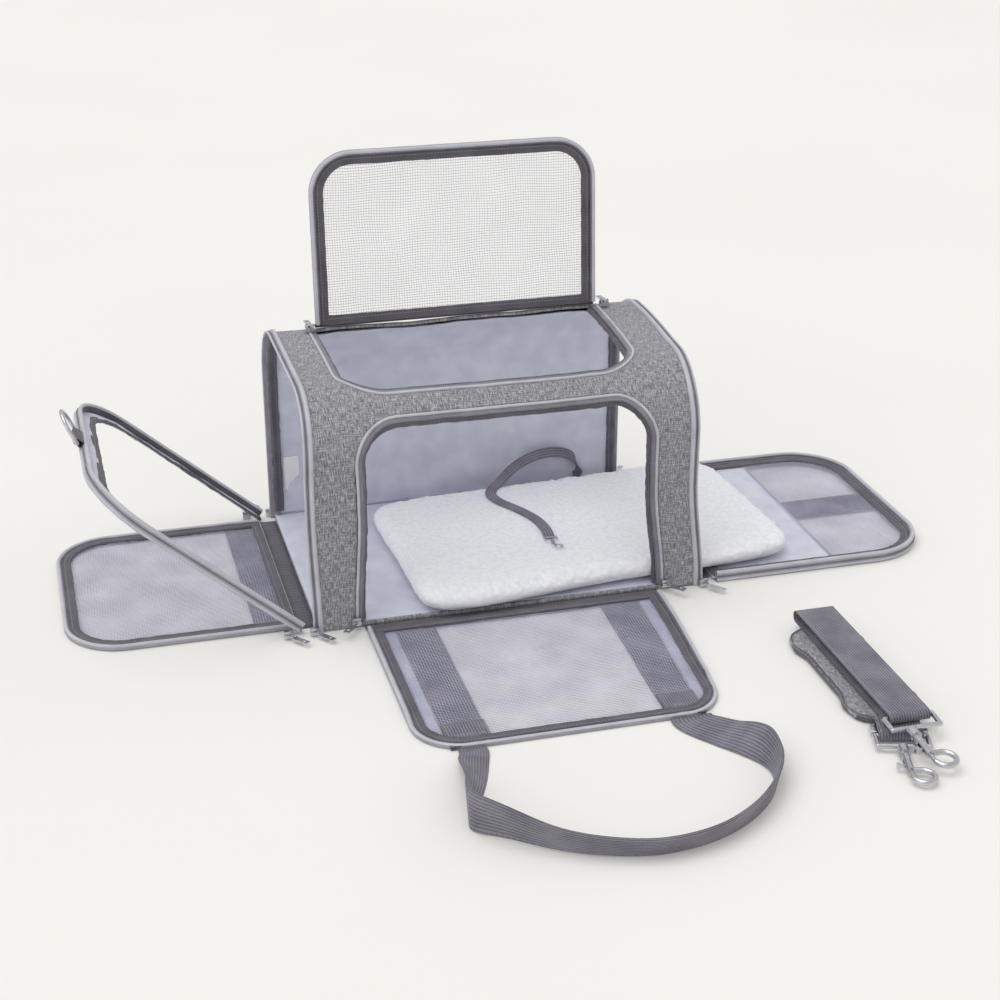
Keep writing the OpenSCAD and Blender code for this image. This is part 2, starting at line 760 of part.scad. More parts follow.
// Long strap folded in three on the pad, and the run that holds the left hook
module strap_webbing() {
    color(WEBBING) {
        along_x(upper_web_x - web_w / 2, upper_web_x + web_w / 2) {
            translate([front_fold_y + 12, run_z[0]]) square([rear_fold_y - front_fold_y - 12, strap_t]);
            fold(rear_fold_y, run_z[0], run_z[2], 1);
            translate([front_fold_y, run_z[2]]) square([rear_fold_y - front_fold_y, strap_t]);
            fold(front_fold_y, run_z[1], run_z[2], -1);
            translate([front_fold_y, run_z[1]]) square([180, strap_t]);
        }
        at_left_bar() along_x(-web_w / 2, web_w / 2) {
            polygon([[lower_run_l, run_z[0] - left_bar_z], [lower_run_l, run_z[0] + strap_t - left_bar_z],
                [0, loop_r], [0, loop_r - strap_t]]);
            intersection() {
                difference() {
                    circle(loop_r);
                    circle(loop_r - strap_t);
                }
                translate([-10, -10]) square([10, 20]);
            }
            translate([0, -loop_r]) square([20, strap_t]);
        }
    }
}

// Slide buckle in front of the pad: two bars in a pair of side plates
module strap_buckle() {
    bar_y = [7, 19];
    bar_z = 4.6 - left_bar_z;
    color(CHROME) at_left_bar() {
        for (side = [-1, 1]) translate([side * 23.5, 0, bar_z]) {
            translate([-1.5, bar_y[0], -2]) cube([3, bar_y[1] - bar_y[0], 4]);
            for (y = bar_y) translate([-1.5, y, 0]) rotate([0, 90, 0]) cylinder(h = 3, d = 4);
        }
        for (y = bar_y) translate([-23.5, y, bar_z]) rotate([0, 90, 0]) cylinder(h = 47, d = 2.6);
    }
}

module at_left_hook() { at_left_bar() translate([-2, 0, 0]) children(); }
module at_right_hook() {
    translate([right_hook_x, front_fold_y, right_bar_z]) rotate([hook_tilt, 0, 0]) children();
}
module strap_eyes() {
    color(CHROME) {
        at_left_hook() hook_eye(46, hook_k, 2);
        at_right_hook() hook_eye(46, hook_k, upper_web_x - right_hook_x);
    }
}
// Each hook starts at its eye's stem
module left_snap_hook() { color(CHROME) at_left_hook() hook_body(hook_k); }
module left_snap_bolt() { color(CHROME) at_left_hook() hook_bolt(hook_k); }
module right_snap_hook() { color(CHROME) at_right_hook() hook_body(hook_k); }
module right_snap_bolt() { color(CHROME) at_right_hook() hook_bolt(hook_k); }

front_panel();
roof_panel();
rear_panel();
cabin_lining();
base_cover();
base_board();
floor_lining();
rim_piping();
rim_bindings();
hoop_wires();
front_opening_zip();
front_opening_binding();
top_opening_zip();
top_opening_binding();
hinge_tapes();
care_label();
rear_webbing();
zip_sliders();
tether_tape();
tether_clip();
fleece_pad();
rear_handle();
front_mesh();
front_flap_zip();
front_flap_binding();
front_flap_webbing();
front_mesh_top();
front_flap_zip_top();
front_handle();
top_mesh();
top_flap_zip();
top_flap_binding();
left_frame_gusset();
left_frame_lining();
left_frame_binding();
left_ring_tab();
left_d_ring();
left_mesh();
left_door_zip();
left_door_binding();
left_door_webbing();
right_mesh();
right_panel_gusset();
right_panel_binding();
right_panel_lining();
right_panel_webbing();
right_d_ring();
front_zip_pulls();
top_zip_pulls();
end_front_zip_pulls();
end_rear_zip_pulls();
strap_webbing();
strap_pad();
strap_buckle();
strap_eyes();
left_snap_hook();
right_snap_hook();
left_snap_bolt();
right_snap_bolt();
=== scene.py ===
# %% [markdown]
# A soft pet carrier bag, opened out flat on the floor. Every piece is made in millimetres
# around a fixed frame, and turned into metres as it is laid down. The frame holds the plain
# solids with their joints, so each new piece only has to say which body it rides on and
# which plain solid it stands for.

# %% The frame
import math

import bmesh
import bpy
from mathutils import Matrix, Vector, noise


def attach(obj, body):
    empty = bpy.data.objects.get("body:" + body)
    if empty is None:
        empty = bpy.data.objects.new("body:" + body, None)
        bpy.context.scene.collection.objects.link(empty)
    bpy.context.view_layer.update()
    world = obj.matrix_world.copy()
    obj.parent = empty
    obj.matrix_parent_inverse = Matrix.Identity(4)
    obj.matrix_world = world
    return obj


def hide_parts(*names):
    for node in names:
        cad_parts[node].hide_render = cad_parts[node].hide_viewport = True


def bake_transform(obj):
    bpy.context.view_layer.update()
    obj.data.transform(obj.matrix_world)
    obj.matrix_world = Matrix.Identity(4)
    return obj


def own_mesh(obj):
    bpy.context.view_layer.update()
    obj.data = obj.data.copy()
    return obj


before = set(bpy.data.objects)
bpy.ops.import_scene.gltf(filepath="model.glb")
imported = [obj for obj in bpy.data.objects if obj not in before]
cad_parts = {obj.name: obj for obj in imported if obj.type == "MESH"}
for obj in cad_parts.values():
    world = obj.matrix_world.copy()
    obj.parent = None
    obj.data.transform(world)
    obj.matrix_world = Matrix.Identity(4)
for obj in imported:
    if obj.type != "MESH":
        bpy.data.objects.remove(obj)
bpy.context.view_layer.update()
MM = 0.001
scene = bpy.context.scene

# %% [markdown]
# A camera is placed by where it stands and which way it looks. A long lens from a little
# over a metre and a half away keeps the bag's upright lines almost parallel.

# %% Camera
CAMERA_PLACE = Vector((-0.4466, -1.7362, 0.8654))
CAMERA_AIM = Vector((0.2388, 0.8800, -0.4106))
camera = bpy.data.objects.new("camera", bpy.data.cameras.new("camera"))
camera.location = CAMERA_PLACE
camera.rotation_euler = CAMERA_AIM.to_track_quat("-Z", "Y").to_euler()
camera.data.lens = 66.7
camera.data.sensor_width = 36
camera.data.clip_end = 60
scene.collection.objects.link(camera)
scene.camera = camera

# %% [markdown]
# Soft light comes from a pale surrounding sky and two wide, weak suns, so that the floor
# is evenly lit and the shadows have no hard edge. A plain view transform keeps the greys
# as they were mixed.

# %% Light
scene.view_settings.view_transform = "Standard"
world = bpy.data.worlds.new("studio")
world.use_nodes = True
world.node_tree.nodes["Background"].inputs["Color"].default_value = (1.0, 0.995, 0.985, 1)
world.node_tree.nodes["Background"].inputs["Strength"].default_value = 0.66
scene.world = world


def soft_sun(name, away, strength, spread):
    """A wide, even light from a direction. Its spread in degrees softens the shadows."""
    lamp = bpy.data.objects.new(name, bpy.data.lights.new(name, "SUN"))
    lamp.data.energy = strength
    lamp.data.angle = math.radians(spread)
    lamp.rotation_euler = (-Vector(away)).to_track_quat("-Z", "Y").to_euler()
    scene.collection.objects.link(lamp)


soft_sun("overhead", (-0.30, 0.06, 1.0), 1.02, 55)
soft_sun("side", (-0.9, -0.8, 0.7), 0.20, 30)

# %% [markdown]
# The patterns that several cloths share are node groups. Each one reads a vector in metres
# and gives back a height for a bump and a mask for a change of tone. The shader itself
# stays in each material.

# %% Shared patterns


class Pattern:
    """A shader node group with named sockets, and short ways to add nodes to it."""

    def __init__(self, name, inputs, outputs):
        self.tree = bpy.data.node_groups.new(name, "ShaderNodeTree")
        for label, kind, value in inputs:
            socket = self.tree.interface.new_socket(label, in_out="INPUT", socket_type=kind)
            if value is not None:
                socket.default_value = value
        for label, kind in outputs:
            self.tree.interface.new_socket(label, in_out="OUTPUT", socket_type=kind)
        self.given = self.tree.nodes.new("NodeGroupInput").outputs
        self.result = self.tree.nodes.new("NodeGroupOutput").inputs

    def add(self, kind, settings=None, **links):
        return add_node(self.tree, kind, settings, **links)

    def math(self, operation, a, b=0.0, c=0.0):
        node = self.tree.nodes.new("ShaderNodeMath")
        node.operation = operation
        for socket, value in zip(node.inputs, (a, b, c)):
            plug(self.tree, socket, value)
        return node.outputs[0]


def plug(tree, socket, value):
    """Links a socket to another one, or sets its value."""
    if isinstance(value, bpy.types.NodeSocket):
        tree.links.new(value, socket)
    else:
        socket.default_value = value


def add_node(tree, kind, settings=None, **links):
    node = tree.nodes.new(kind)
    for key, value in (settings or {}).items():
        setattr(node, key, value)
    for label, value in links.items():
        plug(tree, node.inputs[label.replace("_", " ")], value)
    return node


def weave_pattern():
    """Two sets of threads that cross: sines along and across, broken a little by noise."""
    p = Pattern("weave", [("Vector", "NodeSocketVector", None),
                          ("Along", "NodeSocketFloat", 900.0),
                          ("Across", "NodeSocketFloat", 900.0),
                          ("Rib", "NodeSocketFloat", 0.0)],
                [("Height", "NodeSocketFloat"), ("Mask", "NodeSocketFloat")])
    parts = p.add("ShaderNodeSeparateXYZ", Vector=p.given["Vector"])
    wander = p.add("ShaderNodeTexNoise", Vector=p.given["Vector"], Scale=260.0, Detail=2.0)
    shift = p.math("MULTIPLY", wander.outputs[0], 2.2)
    turn = 2 * math.pi
    along = p.math("MULTIPLY", parts.outputs[0], p.given["Along"])
    across = p.math("MULTIPLY", parts.outputs[1], p.given["Across"])
    first = p.math("SINE", p.math("MULTIPLY_ADD", along, turn, shift))
    second = p.math("SINE", p.math("MULTIPLY_ADD", across, turn, shift))
    crossed = p.math("MULTIPLY", first, second)
    ribs = p.math("SUBTRACT", second, crossed)
    woven = p.math("MULTIPLY_ADD", ribs, p.given["Rib"], crossed)
    height = p.math("MULTIPLY_ADD", woven, 0.5, 0.5)
    p.tree.links.new(height, p.result["Height"])
    blotch = p.add("ShaderNodeTexNoise", Vector=p.given["Vector"], Scale=38.0, Detail=3.0)
    p.tree.links.new(p.math("MULTIPLY_ADD", blotch.outputs[0], 0.6,
                            p.math("MULTIPLY", height, 0.4)), p.result["Mask"])
    return p.tree


def stitch_pattern():
    """A row of stitches near both edges of a flat tape. Wrap is half the way round it."""
    p = Pattern("stitches", [("Vector", "NodeSocketVector", None),
                             ("Wrap", "NodeSocketFloat", 0.012),
                             ("Width", "NodeSocketFloat", 0.010),
                             ("Inset", "NodeSocketFloat", 0.0016),
                             ("Pitch", "NodeSocketFloat", 0.0035)],
                [("Mask", "NodeSocketFloat")])
    parts = p.add("ShaderNodeSeparateXYZ", Vector=p.given["Vector"])
    across = p.math("MODULO", parts.outputs[1], p.given["Wrap"])
    near = p.math("ABSOLUTE", p.math("SUBTRACT", across, p.given["Inset"]))
    far = p.math("ABSOLUTE", p.math("SUBTRACT", p.math("SUBTRACT", p.given["Width"], across),
                                    p.given["Inset"]))
    line = p.math("LESS_THAN", p.math("MINIMUM", near, far), 0.00035)
    run = p.math("FRACT", p.math("DIVIDE", parts.outputs[0], p.given["Pitch"]))
    p.tree.links.new(p.math("MULTIPLY", line, p.math("LESS_THAN", run, 0.68)),
                     p.result["Mask"])
    return p.tree


def wear_pattern():
    """Soft blotches and fine specks: handling marks on metal, board and cloth alike."""
    p = Pattern("wear", [("Vector", "NodeSocketVector", None), ("Size", "NodeSocketFloat", 60.0)],
                [("Mask", "NodeSocketFloat"), ("Specks", "NodeSocketFloat")])
    big = p.add("ShaderNodeTexNoise", Vector=p.given["Vector"], Scale=p.given["Size"], Detail=4.0)
    fine = p.add("ShaderNodeTexNoise", Vector=p.given["Vector"],
                 Scale=p.math("MULTIPLY", p.given["Size"], 14.0), Detail=2.0)
    p.tree.links.new(big.outputs[0], p.result["Mask"])
    p.tree.links.new(fine.outputs[0], p.result["Specks"])
    return p.tree


WEAVE, STITCHES, WEAR = weave_pattern(), stitch_pattern(), wear_pattern()
print("shared patterns:", WEAVE.name, STITCHES.name, WEAR.name)

# %% [markdown]
# Each cloth is a mix of two tones of its own colour, with a bump from its weave. The tone
# follows the threads and a slow blotch, so that no area is one flat colour.

# %% Cloths


def linear(r, g, b):
    """A screen colour from 0 to 255, as the linear colour that a shader wants."""
    return tuple(((c / 255 + 0.055) / 1.055) ** 2.4 if c > 10 else c / 3294.6
                 for c in (r, g, b)) + (1.0,)


def group_node(tree, group, **links):
    node = tree.nodes.new("ShaderNodeGroup")
    node.node_tree = group
    for label, value in links.items():
        plug(tree, node.inputs[label], value)
    return node


def blank_material(name, roughness, sheen=0.0, metallic=0.0):
    made = bpy.data.materials.new(name)
    made.use_nodes = True
    shader = made.node_tree.nodes["Principled BSDF"]
    shader.inputs["Roughness"].default_value = roughness
    shader.inputs["Metallic"].default_value = metallic
    shader.inputs["Sheen Weight"].default_value = sheen
    shader.inputs["Specular IOR Level"].default_value = 0.3
    coords = made.node_tree.nodes.new("ShaderNodeTexCoord")
    return made, made.node_tree, shader, coords


def tones(tree, factor, dark, light, low=0.3, high=0.7):
    ramp = tree.nodes.new("ShaderNodeValToRGB")
    ramp.color_ramp.elements[0].position = low
    ramp.color_ramp.elements[0].color = dark
    ramp.color_ramp.elements[1].position = high
    ramp.color_ramp.elements[1].color = light
    tree.links.new(factor, ramp.inputs[0])
    return ramp.outputs[0]


def raise_bump(tree, shader, height, strength, distance):
    bump = add_node(tree, "ShaderNodeBump", Height=height, Strength=strength,
                    Distance=distance)
    tree.links.new(bump.outputs[0], shader.inputs["Normal"])


def cloth(name, dark, light, roughness=0.8, sheen=0.15, along=900.0, across=900.0,
          strength=0.5, distance=0.0004, uv=True, stitched=None, thread=None, rib=0.0):
    """A woven cloth, with an optional pair of stitch rows on a tape of a known width."""
    made, tree, shader, coords = blank_material(name, roughness, sheen)
    vector = coords.outputs["UV" if uv else "Object"]
    weave = group_node(tree, WEAVE, Vector=vector, Along=along, Across=across, Rib=rib)
    colour = tones(tree, weave.outputs["Mask"], dark, light)
    height = weave.outputs["Height"]
    if stitched:
        rows = group_node(tree, STITCHES, Vector=vector, Wrap=stitched[0], Width=stitched[1])
        mix = add_node(tree, "ShaderNodeMix", {"data_type": "RGBA"})
        plug(tree, mix.inputs["Factor"], rows.outputs["Mask"])
        plug(tree, mix.inputs[6], colour)
        plug(tree, mix.inputs[7], thread or light)
        colour = mix.outputs[2]
        height = add_node(tree, "ShaderNodeMath", {"operation": "ADD"})
        tree.links.new(weave.outputs["Height"], height.inputs[0])
        tree.links.new(rows.outputs["Mask"], height.inputs[1])
        height = height.outputs[0]
    tree.links.new(colour, shader.inputs["Base Color"])
    raise_bump(tree, shader, height, strength, distance)
    return made


SATIN = cloth("satin_lining", linear(194, 196, 213), linear(224, 226, 240), 0.42, 0.25,
              1500.0, 1500.0, 0.15, 0.0002)
BINDING = cloth("dark_binding", linear(78, 75, 83), linear(112, 109, 118), 0.75, 0.2,
                700.0, 1400.0, 0.5, 0.0004, stitched=(0.0126, 0.010), thread=linear(140, 138, 146))
TAPE = cloth("zip_tape", linear(148, 147, 156), linear(182, 181, 190), 0.8, 0.2,
             500.0, 1100.0, 0.5, 0.0004)
EDGE_TAPE = cloth("opening_tape", linear(122, 120, 129), linear(156, 154, 164), 0.8, 0.2,
                  500.0, 1100.0, 0.5, 0.0004)
BEAD = cloth("piping_bead", linear(182, 182, 192), linear(212, 212, 221), 0.6, 0.2,
             420.0, 800.0, 0.5, 0.0004)
COIL = cloth("zip_coil", linear(96, 94, 104), linear(150, 148, 158), 0.45, 0.0,
             900.0, 300.0, 0.9, 0.0006)
WEBBING = cloth("ribbed_webbing", linear(92, 90, 102), linear(146, 143, 156), 0.7, 0.2,
                420.0, 440.0, 0.9, 0.0009, stitched=(0.0416, 0.040),
                thread=linear(152, 150, 160), rib=0.75)
LABEL = cloth("blank_label", linear(232, 232, 232), linear(247, 247, 247), 0.6, 0.1,
              1500.0, 1500.0, 0.2, 0.0002)

# %% [markdown]
# The walls are a heather cloth: a grey ground with short paler and darker flecks along
# both of its thread directions. Two noises, each stretched one way, give the flecks, and a
# ramp with a hard middle makes them read as separate threads.

# %% Heather


def heather(name, dark, middle, light):
    made, tree, shader, coords = blank_material(name, 0.85, 0.2)
    threads = []
    for scale in ((1.0, 0.14, 1.0), (0.14, 1.0, 1.0)):
        stretch = add_node(tree, "ShaderNodeMapping", Vector=coords.outputs["UV"])
        stretch.inputs["Scale"].default_value = scale
        flecks = add_node(tree, "ShaderNodeTexNoise", Vector=stretch.outputs[0], Scale=950.0,
                          Detail=3.0, Roughness=0.65)
        threads.append(flecks.outputs[0])
    crossed = add_node(tree, "ShaderNodeMix", {"data_type": "FLOAT"})
    crossed.inputs[0].default_value = 0.42
    tree.links.new(threads[0], crossed.inputs[2])
    tree.links.new(threads[1], crossed.inputs[3])
    ramp = tree.nodes.new("ShaderNodeValToRGB")
    ramp.color_ramp.elements[0].position = 0.40
    ramp.color_ramp.elements[0].color = dark
    ramp.color_ramp.elements[1].position = 0.61
    ramp.color_ramp.elements[1].color = light
    ramp.color_ramp.elements.new(0.5).color = middle
    tree.links.new(crossed.outputs[0], ramp.inputs[0])
    worn = group_node(tree, WEAR, Vector=coords.outputs["Object"], Size=16.0)
    mix = add_node(tree, "ShaderNodeMix", {"data_type": "RGBA", "blend_type": "MULTIPLY"})
    plug(tree, mix.inputs["Factor"], 0.35)
    plug(tree, mix.inputs[6], ramp.outputs[0])
    plug(tree, mix.inputs[7], tones(tree, worn.outputs["Mask"], (0.8, 0.8, 0.8, 1), (1, 1, 1, 1)))
    tree.links.new(mix.outputs[2], shader.inputs["Base Color"])
    weave = group_node(tree, WEAVE, Vector=coords.outputs["UV"], Along=850.0, Across=850.0)
    raise_bump(tree, shader, weave.outputs["Height"], 0.4, 0.0004)
    return made


HEATHER = heather("heather_cloth", linear(108, 108, 114), linear(147, 147, 153),
                  linear(196, 196, 203))

# %% [markdown]
# Netting threads are fine and shiny, so they only need a slow change of tone. Fleece is a
# pile of small tufts: cells give each tuft its own height, and noise breaks up the cells.
# The fleece is painted darker between the tufts, as painted shade in the hollows.

# %% Netting and fleece


def net_material(name, dark, light):
    made, tree, shader, coords = blank_material(name, 0.45, 0.1)
    worn = group_node(tree, WEAR, Vector=coords.outputs["Object"], Size=24.0)
    tree.links.new(tones(tree, worn.outputs["Mask"], dark, light), shader.inputs["Base Color"])
    raise_bump(tree, shader, worn.outputs["Specks"], 0.2, 0.0003)
    return made


def fleece_material(name, dark, light):
    made, tree, shader, coords = blank_material(name, 0.95, 0.5)
    cells = add_node(tree, "ShaderNodeTexVoronoi", Vector=coords.outputs["Object"], Scale=190.0)
    fluff = add_node(tree, "ShaderNodeTexNoise", Vector=coords.outputs["Object"], Scale=420.0,
                     Detail=4.0)
    height = add_node(tree, "ShaderNodeMath", {"operation": "MULTIPLY_ADD"})
    plug(tree, height.inputs[0], cells.outputs["Distance"])
    height.inputs[1].default_value = -1.2
    plug(tree, height.inputs[2], fluff.outputs[0])
    # Painted shade: the tone darkens with the distance from a tuft's middle, in the hollows
    # between tufts.
    tree.links.new(tones(tree, cells.outputs["Distance"], light, dark, 0.1, 0.9),
                   shader.inputs["Base Color"])
    raise_bump(tree, shader, height.outputs[0], 0.4, 0.0012)
    return made


NET = net_material("net_thread", linear(176, 175, 198), linear(210, 209, 228))
# Painted light: the top flap's threads are a lighter copy of the net colours, because that flap
# leans away from the lamps.
NET_WITH_PAINTED_LIGHT = net_material("net_thread_painted_light", linear(190, 190, 206), linear(214, 214, 228))
# The darker fleece colour is painted shade for the hollows between the tufts.
FLEECE = fleece_material("white_fleece", linear(238, 240, 248), linear(253, 253, 255))

# %% [markdown]
# The metal is plated: a bright mirror with slight handling marks that change its
# roughness, and a trace of grain in its surface. The board in the base is a plain
# pressed sheet.

# %% Metal and board


def plated(name, colour, roughness):
    made, tree, shader, coords = blank_material(name, roughness, 0.0, 1.0)
    worn = group_node(tree, WEAR, Vector=coords.outputs["Object"], Size=120.0)
    dull = add_node(tree, "ShaderNodeMapRange", Value=worn.outputs["Mask"])
    dull.inputs["To Min"].default_value = roughness * 0.7
    dull.inputs["To Max"].default_value = roughness * 1.7
    tree.links.new(dull.outputs[0], shader.inputs["Roughness"])
    shade = tuple(c * 0.8 for c in colour[:3]) + (1.0,)
    tree.links.new(tones(tree, worn.outputs["Mask"], shade, colour), shader.inputs["Base Color"])
    raise_bump(tree, shader, worn.outputs["Specks"], 0.06, 0.0002)
    return made


CHROME = plated("bright_plate", linear(214, 213, 220), 0.2)
WIRE = plated("spring_wire", linear(170, 170, 174), 0.35)
BOARD = cloth("pressed_board", linear(54, 54, 56), linear(72, 72, 74), 0.9, 0.0,
              120.0, 120.0, 0.3, 0.0004, uv=False)
METAL_NODES = ("zip_sliders tether_clip left_d_ring right_d_ring front_zip_pulls top_zip_pulls "
               "end_front_zip_pulls end_rear_zip_pulls strap_buckle strap_eyes left_snap_hook "
               "right_snap_hook left_snap_bolt right_snap_bolt").split()


def refinish(node, made):
    """Gives a frame node a new material and leaves its shape alone."""
    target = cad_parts[node]
    if not target.material_slots:
        target.data.materials.append(made)
    for place in target.material_slots:
        place.material = made


for node in METAL_NODES:
    refinish(node, CHROME)
refinish("hoop_wires", WIRE)
refinish("base_board", BOARD)
print("metal pieces kept from the frame:", len(METAL_NODES))

# %% [markdown]
# Nearly every cloth piece starts as a flat grid. The grid is laid down by a rule that
# turns a place on it, from 0 to 1 each way, into a place in space. A tape, bead or
# binding is the same grid rolled into a tube along a path, with its ends closed.

# %% Laying a grid


def finished(name, bm, made, smooth_limit=0.7, normals=False):
    """Turns a bmesh into an object with smooth faces and crisp corners."""
    if normals:
        bmesh.ops.recalc_face_normals(bm, faces=bm.faces)
    for face in bm.faces:
        face.smooth = True
    for edge in bm.edges:
        edge.smooth = len(edge.link_faces) != 2 or edge.calc_face_angle(0) < smooth_limit
    mesh = bpy.data.meshes.new(name)
    bm.to_mesh(mesh)
    bm.free()
    mesh.materials.append(made)
    piece = bpy.data.objects.new(name, mesh)
    scene.collection.objects.link(piece)
    return piece


def grid_mesh(nu, nv, place, size, keep=None):
    bm = bmesh.new()
    uv = bm.loops.layers.uv.new("UVMap")
    bmesh.ops.create_grid(bm, x_segments=nu, y_segments=nv, size=0.5)
    for face in bm.faces:
        for loop in face.loops:
            loop[uv].uv = ((loop.vert.co.x + 0.5) * size[0], (loop.vert.co.y + 0.5) * size[1])
    if keep:
        away = []
        for face in bm.faces:
            middle = face.calc_center_median()
            if not keep(middle.x + 0.5, middle.y + 0.5):
                away.append(face)
        bmesh.ops.delete(bm, geom=away, context="FACES")
    for vert in bm.verts:
        vert.co = Vector(place(vert.co.x + 0.5, vert.co.y + 0.5)) * MM
    return bm


def lay(name, nu, nv, place, size, made, keep=None, thick=0.0):
    """Lays a sheet. thick is its thickness in mm, half each way, from a Solidify modifier."""
    piece = finished(name, grid_mesh(nu, nv, place, size, keep), made, 1.2)
    if thick:
        wall_maker = piece.modifiers.new("thickness", "SOLIDIFY")
        wall_maker.thickness = thick * MM
        wall_maker.offset = 0
    return piece


def sweep(name, path, section, made, pucker=0.0, grain=9.0, closed=False, seed=0.0):
    """Rolls a grid into a tube: path has places with their two directions across."""
    count = len(path)
    nu, nv = (count if closed else count - 1), len(section)
    steps = [(path[(i + 1) % count][0] - path[i][0]).length for i in range(nu)]
    length = sum(steps)
    around = sum(math.dist(section[k], section[(k + 1) % nv]) for k in range(nv))

    def place(u, v):
        i = round(u * nu) % count
        k = round(v * nv) % nv
        spot, across, up = path[i]
        b, n = section[k]
        if pucker:
            here = spot / grain
            b += pucker * noise.noise(here + Vector((seed, 0.6 * k, 0)))
            n += pucker * noise.noise(here + Vector((0, 0.6 * k, seed + 7)))
        return spot + across * b + up * n

    bm = grid_mesh(nu, nv, place, (length * MM, around * MM))
    bmesh.ops.remove_doubles(bm, verts=bm.verts, dist=1e-6)
    if not closed:
        ends = [edge for edge in bm.edges if len(edge.link_faces) == 1]
        bmesh.ops.holes_fill(bm, edges=ends, sides=0)
    return finished(name, bm, made, 0.9, normals=True)


def round_section(b, n, r, count=8):
    return [(b + r * math.cos(2 * math.pi * i / count), n + r * math.sin(2 * math.pi * i / count))
            for i in range(count)]


def flat_section(b0, b1, n0, n1, steps=4, round_off=0.35):
    """A flat tape's outline, from its lower left corner round, with its corners cut a little."""
    e = round_off
    low = [(b0 + e + (b1 - b0 - 2 * e) * i / steps, n0) for i in range(steps + 1)]
    high = [(b1 - e - (b1 - b0 - 2 * e) * i / steps, n1) for i in range(steps + 1)]
    return low + [(b1, (n0 + n1) / 2)] + high + [(b0, (n0 + n1) / 2)]


# %% [markdown]
# The flaps, the end panels and the openings all share one outline: a straight side, two
# round corners and a straight far edge. A list of places along it, each with its outward
# direction, is the path for every bead, tape and binding on that panel.

# %% Outlines


def u_outline(w, l, r, start=3.0, step=5.0, counts=None):
    """Places and outward directions along the three outer sides of a panel."""
    spots = []
    side = l - r - start
    rise, bend, top = counts or (max(2, round(side / step)),
                                 max(4, round(r * math.pi / 2 / step)),
                                 max(2, round((w - 2 * r) / step)))
    for i in range(rise):
        spots.append(((-w / 2, start + side * i / rise), (-1, 0)))
    for i in range(bend):
        a = math.pi / 2 * i / bend
        spots.append(((-w / 2 + r - r * math.cos(a), l - r + r * math.sin(a)),
                      (-math.cos(a), math.sin(a))))
    for i in range(top):
        spots.append(((-w / 2 + r + (w - 2 * r) * i / top, l), (0, 1)))
    for i in range(bend):
        a = math.pi / 2 * i / bend
        spots.append(((w / 2 - r + r * math.sin(a), l - r + r * math.cos(a)),
                      (math.sin(a), math.cos(a))))
    for i in range(rise + 1):
        spots.append(((w / 2, l - r - side * i / rise), (1, 0)))
    return spots


def inside_outline(x, y, w, l, r, low=0.0):
    if abs(x) > w / 2 or y > l or y < low:
        return False
    dx, dy = abs(x) - (w / 2 - r), y - (l - r)
    return dx < 0 or dy < 0 or math.hypot(dx, dy) <= r


def on_plane(spots, matrix, tall=lambda y: 1.0):
    turn = matrix.to_3x3()
    return [(matrix @ Vector((x, y, 0)), turn @ Vector((ox, oy, 0)),
             turn @ Vector((0, 0, tall(y)))) for (x, y), (ox, oy) in spots]


def spin_about(axis, degrees):
    return Matrix.Rotation(math.radians(degrees), 4, axis)


FRONT_HINGE, FRONT_L, FRONT_W = 151.0, 236.0, 304.0
TOP_HINGE_Y, TOP_HINGE_Z, TOP_L, TOP_W = 84.0, 237.8, 181.0, 304.0
END_HINGE, END_L, END_W, END_R, END_H = 216.0, 252.0, 280.0, 66.0, 12.0
DOOR_L, DOOR_W, DOOR_R = 223.0, 256.0, 58.0
OPEN_R = 46.0
WEB_X, WEB_W = 105.0, 40.0
TOP_ANGLE, FRAME_ANGLE = 86, 41
FRONT = Matrix.Translation((0, -FRONT_HINGE, 0)) @ spin_about("Z", 180)
TOP = Matrix.Translation((0, TOP_HINGE_Y, TOP_HINGE_Z)) @ spin_about("X", TOP_ANGLE)
FRAME = Matrix.Translation((-END_HINGE, 0, 0)) @ (
    spin_about("Y", FRAME_ANGLE) @ spin_about("Z", 90))
DOOR = Matrix.Translation((-END_HINGE, 0, 0)) @ spin_about("Z", 90)
RIGHT = Matrix.Translation((END_HINGE, 0, 0)) @ spin_about("Z", -90)

# %% [markdown]
# The cabin is one strip of cloth that goes up the front, over the roof and down the back.
# A place on it is how far along the bag it is and how far along the strip. The rule adds
# slow waves, because padded cloth between two wire hoops never lies quite true.

# %% The cabin's curve
LENGTH, WIDTH, HEIGHT, SHOULDER, WALL = 396.0, 280.0, 236.0, 66.0, 3.0
FLOOR_Z = 4.8
SHOULDER_Y, SHOULDER_Z = WIDTH / 2 - SHOULDER, HEIGHT - SHOULDER
ARC = SHOULDER * math.pi / 2
STRIP = 2 * SHOULDER_Z + 2 * ARC + 2 * SHOULDER_Y
STRIP_MARKS = [SHOULDER_Z, SHOULDER_Z + ARC, SHOULDER_Z + ARC + 2 * SHOULDER_Y,
               SHOULDER_Z + 2 * ARC + 2 * SHOULDER_Y]


def arch(s):
    """Y, Z and the outward direction at a distance along the strip."""
    a, b, c, d = STRIP_MARKS
    if s < a:
        return -WIDTH / 2, s, -1.0, 0.0
    if s < b:
        t = (s - a) / SHOULDER
        return (-SHOULDER_Y - SHOULDER * math.cos(t), SHOULDER_Z + SHOULDER * math.sin(t),
                -math.cos(t), math.sin(t))
    if s < c:
        return -SHOULDER_Y + s - b, HEIGHT, 0.0, 1.0
    if s < d:
        t = (s - c) / SHOULDER
        return (SHOULDER_Y + SHOULDER * math.sin(t), SHOULDER_Z + SHOULDER * math.cos(t),
                math.sin(t), math.cos(t))
    return WIDTH / 2, SHOULDER_Z - (s - d), 1.0, 0.0


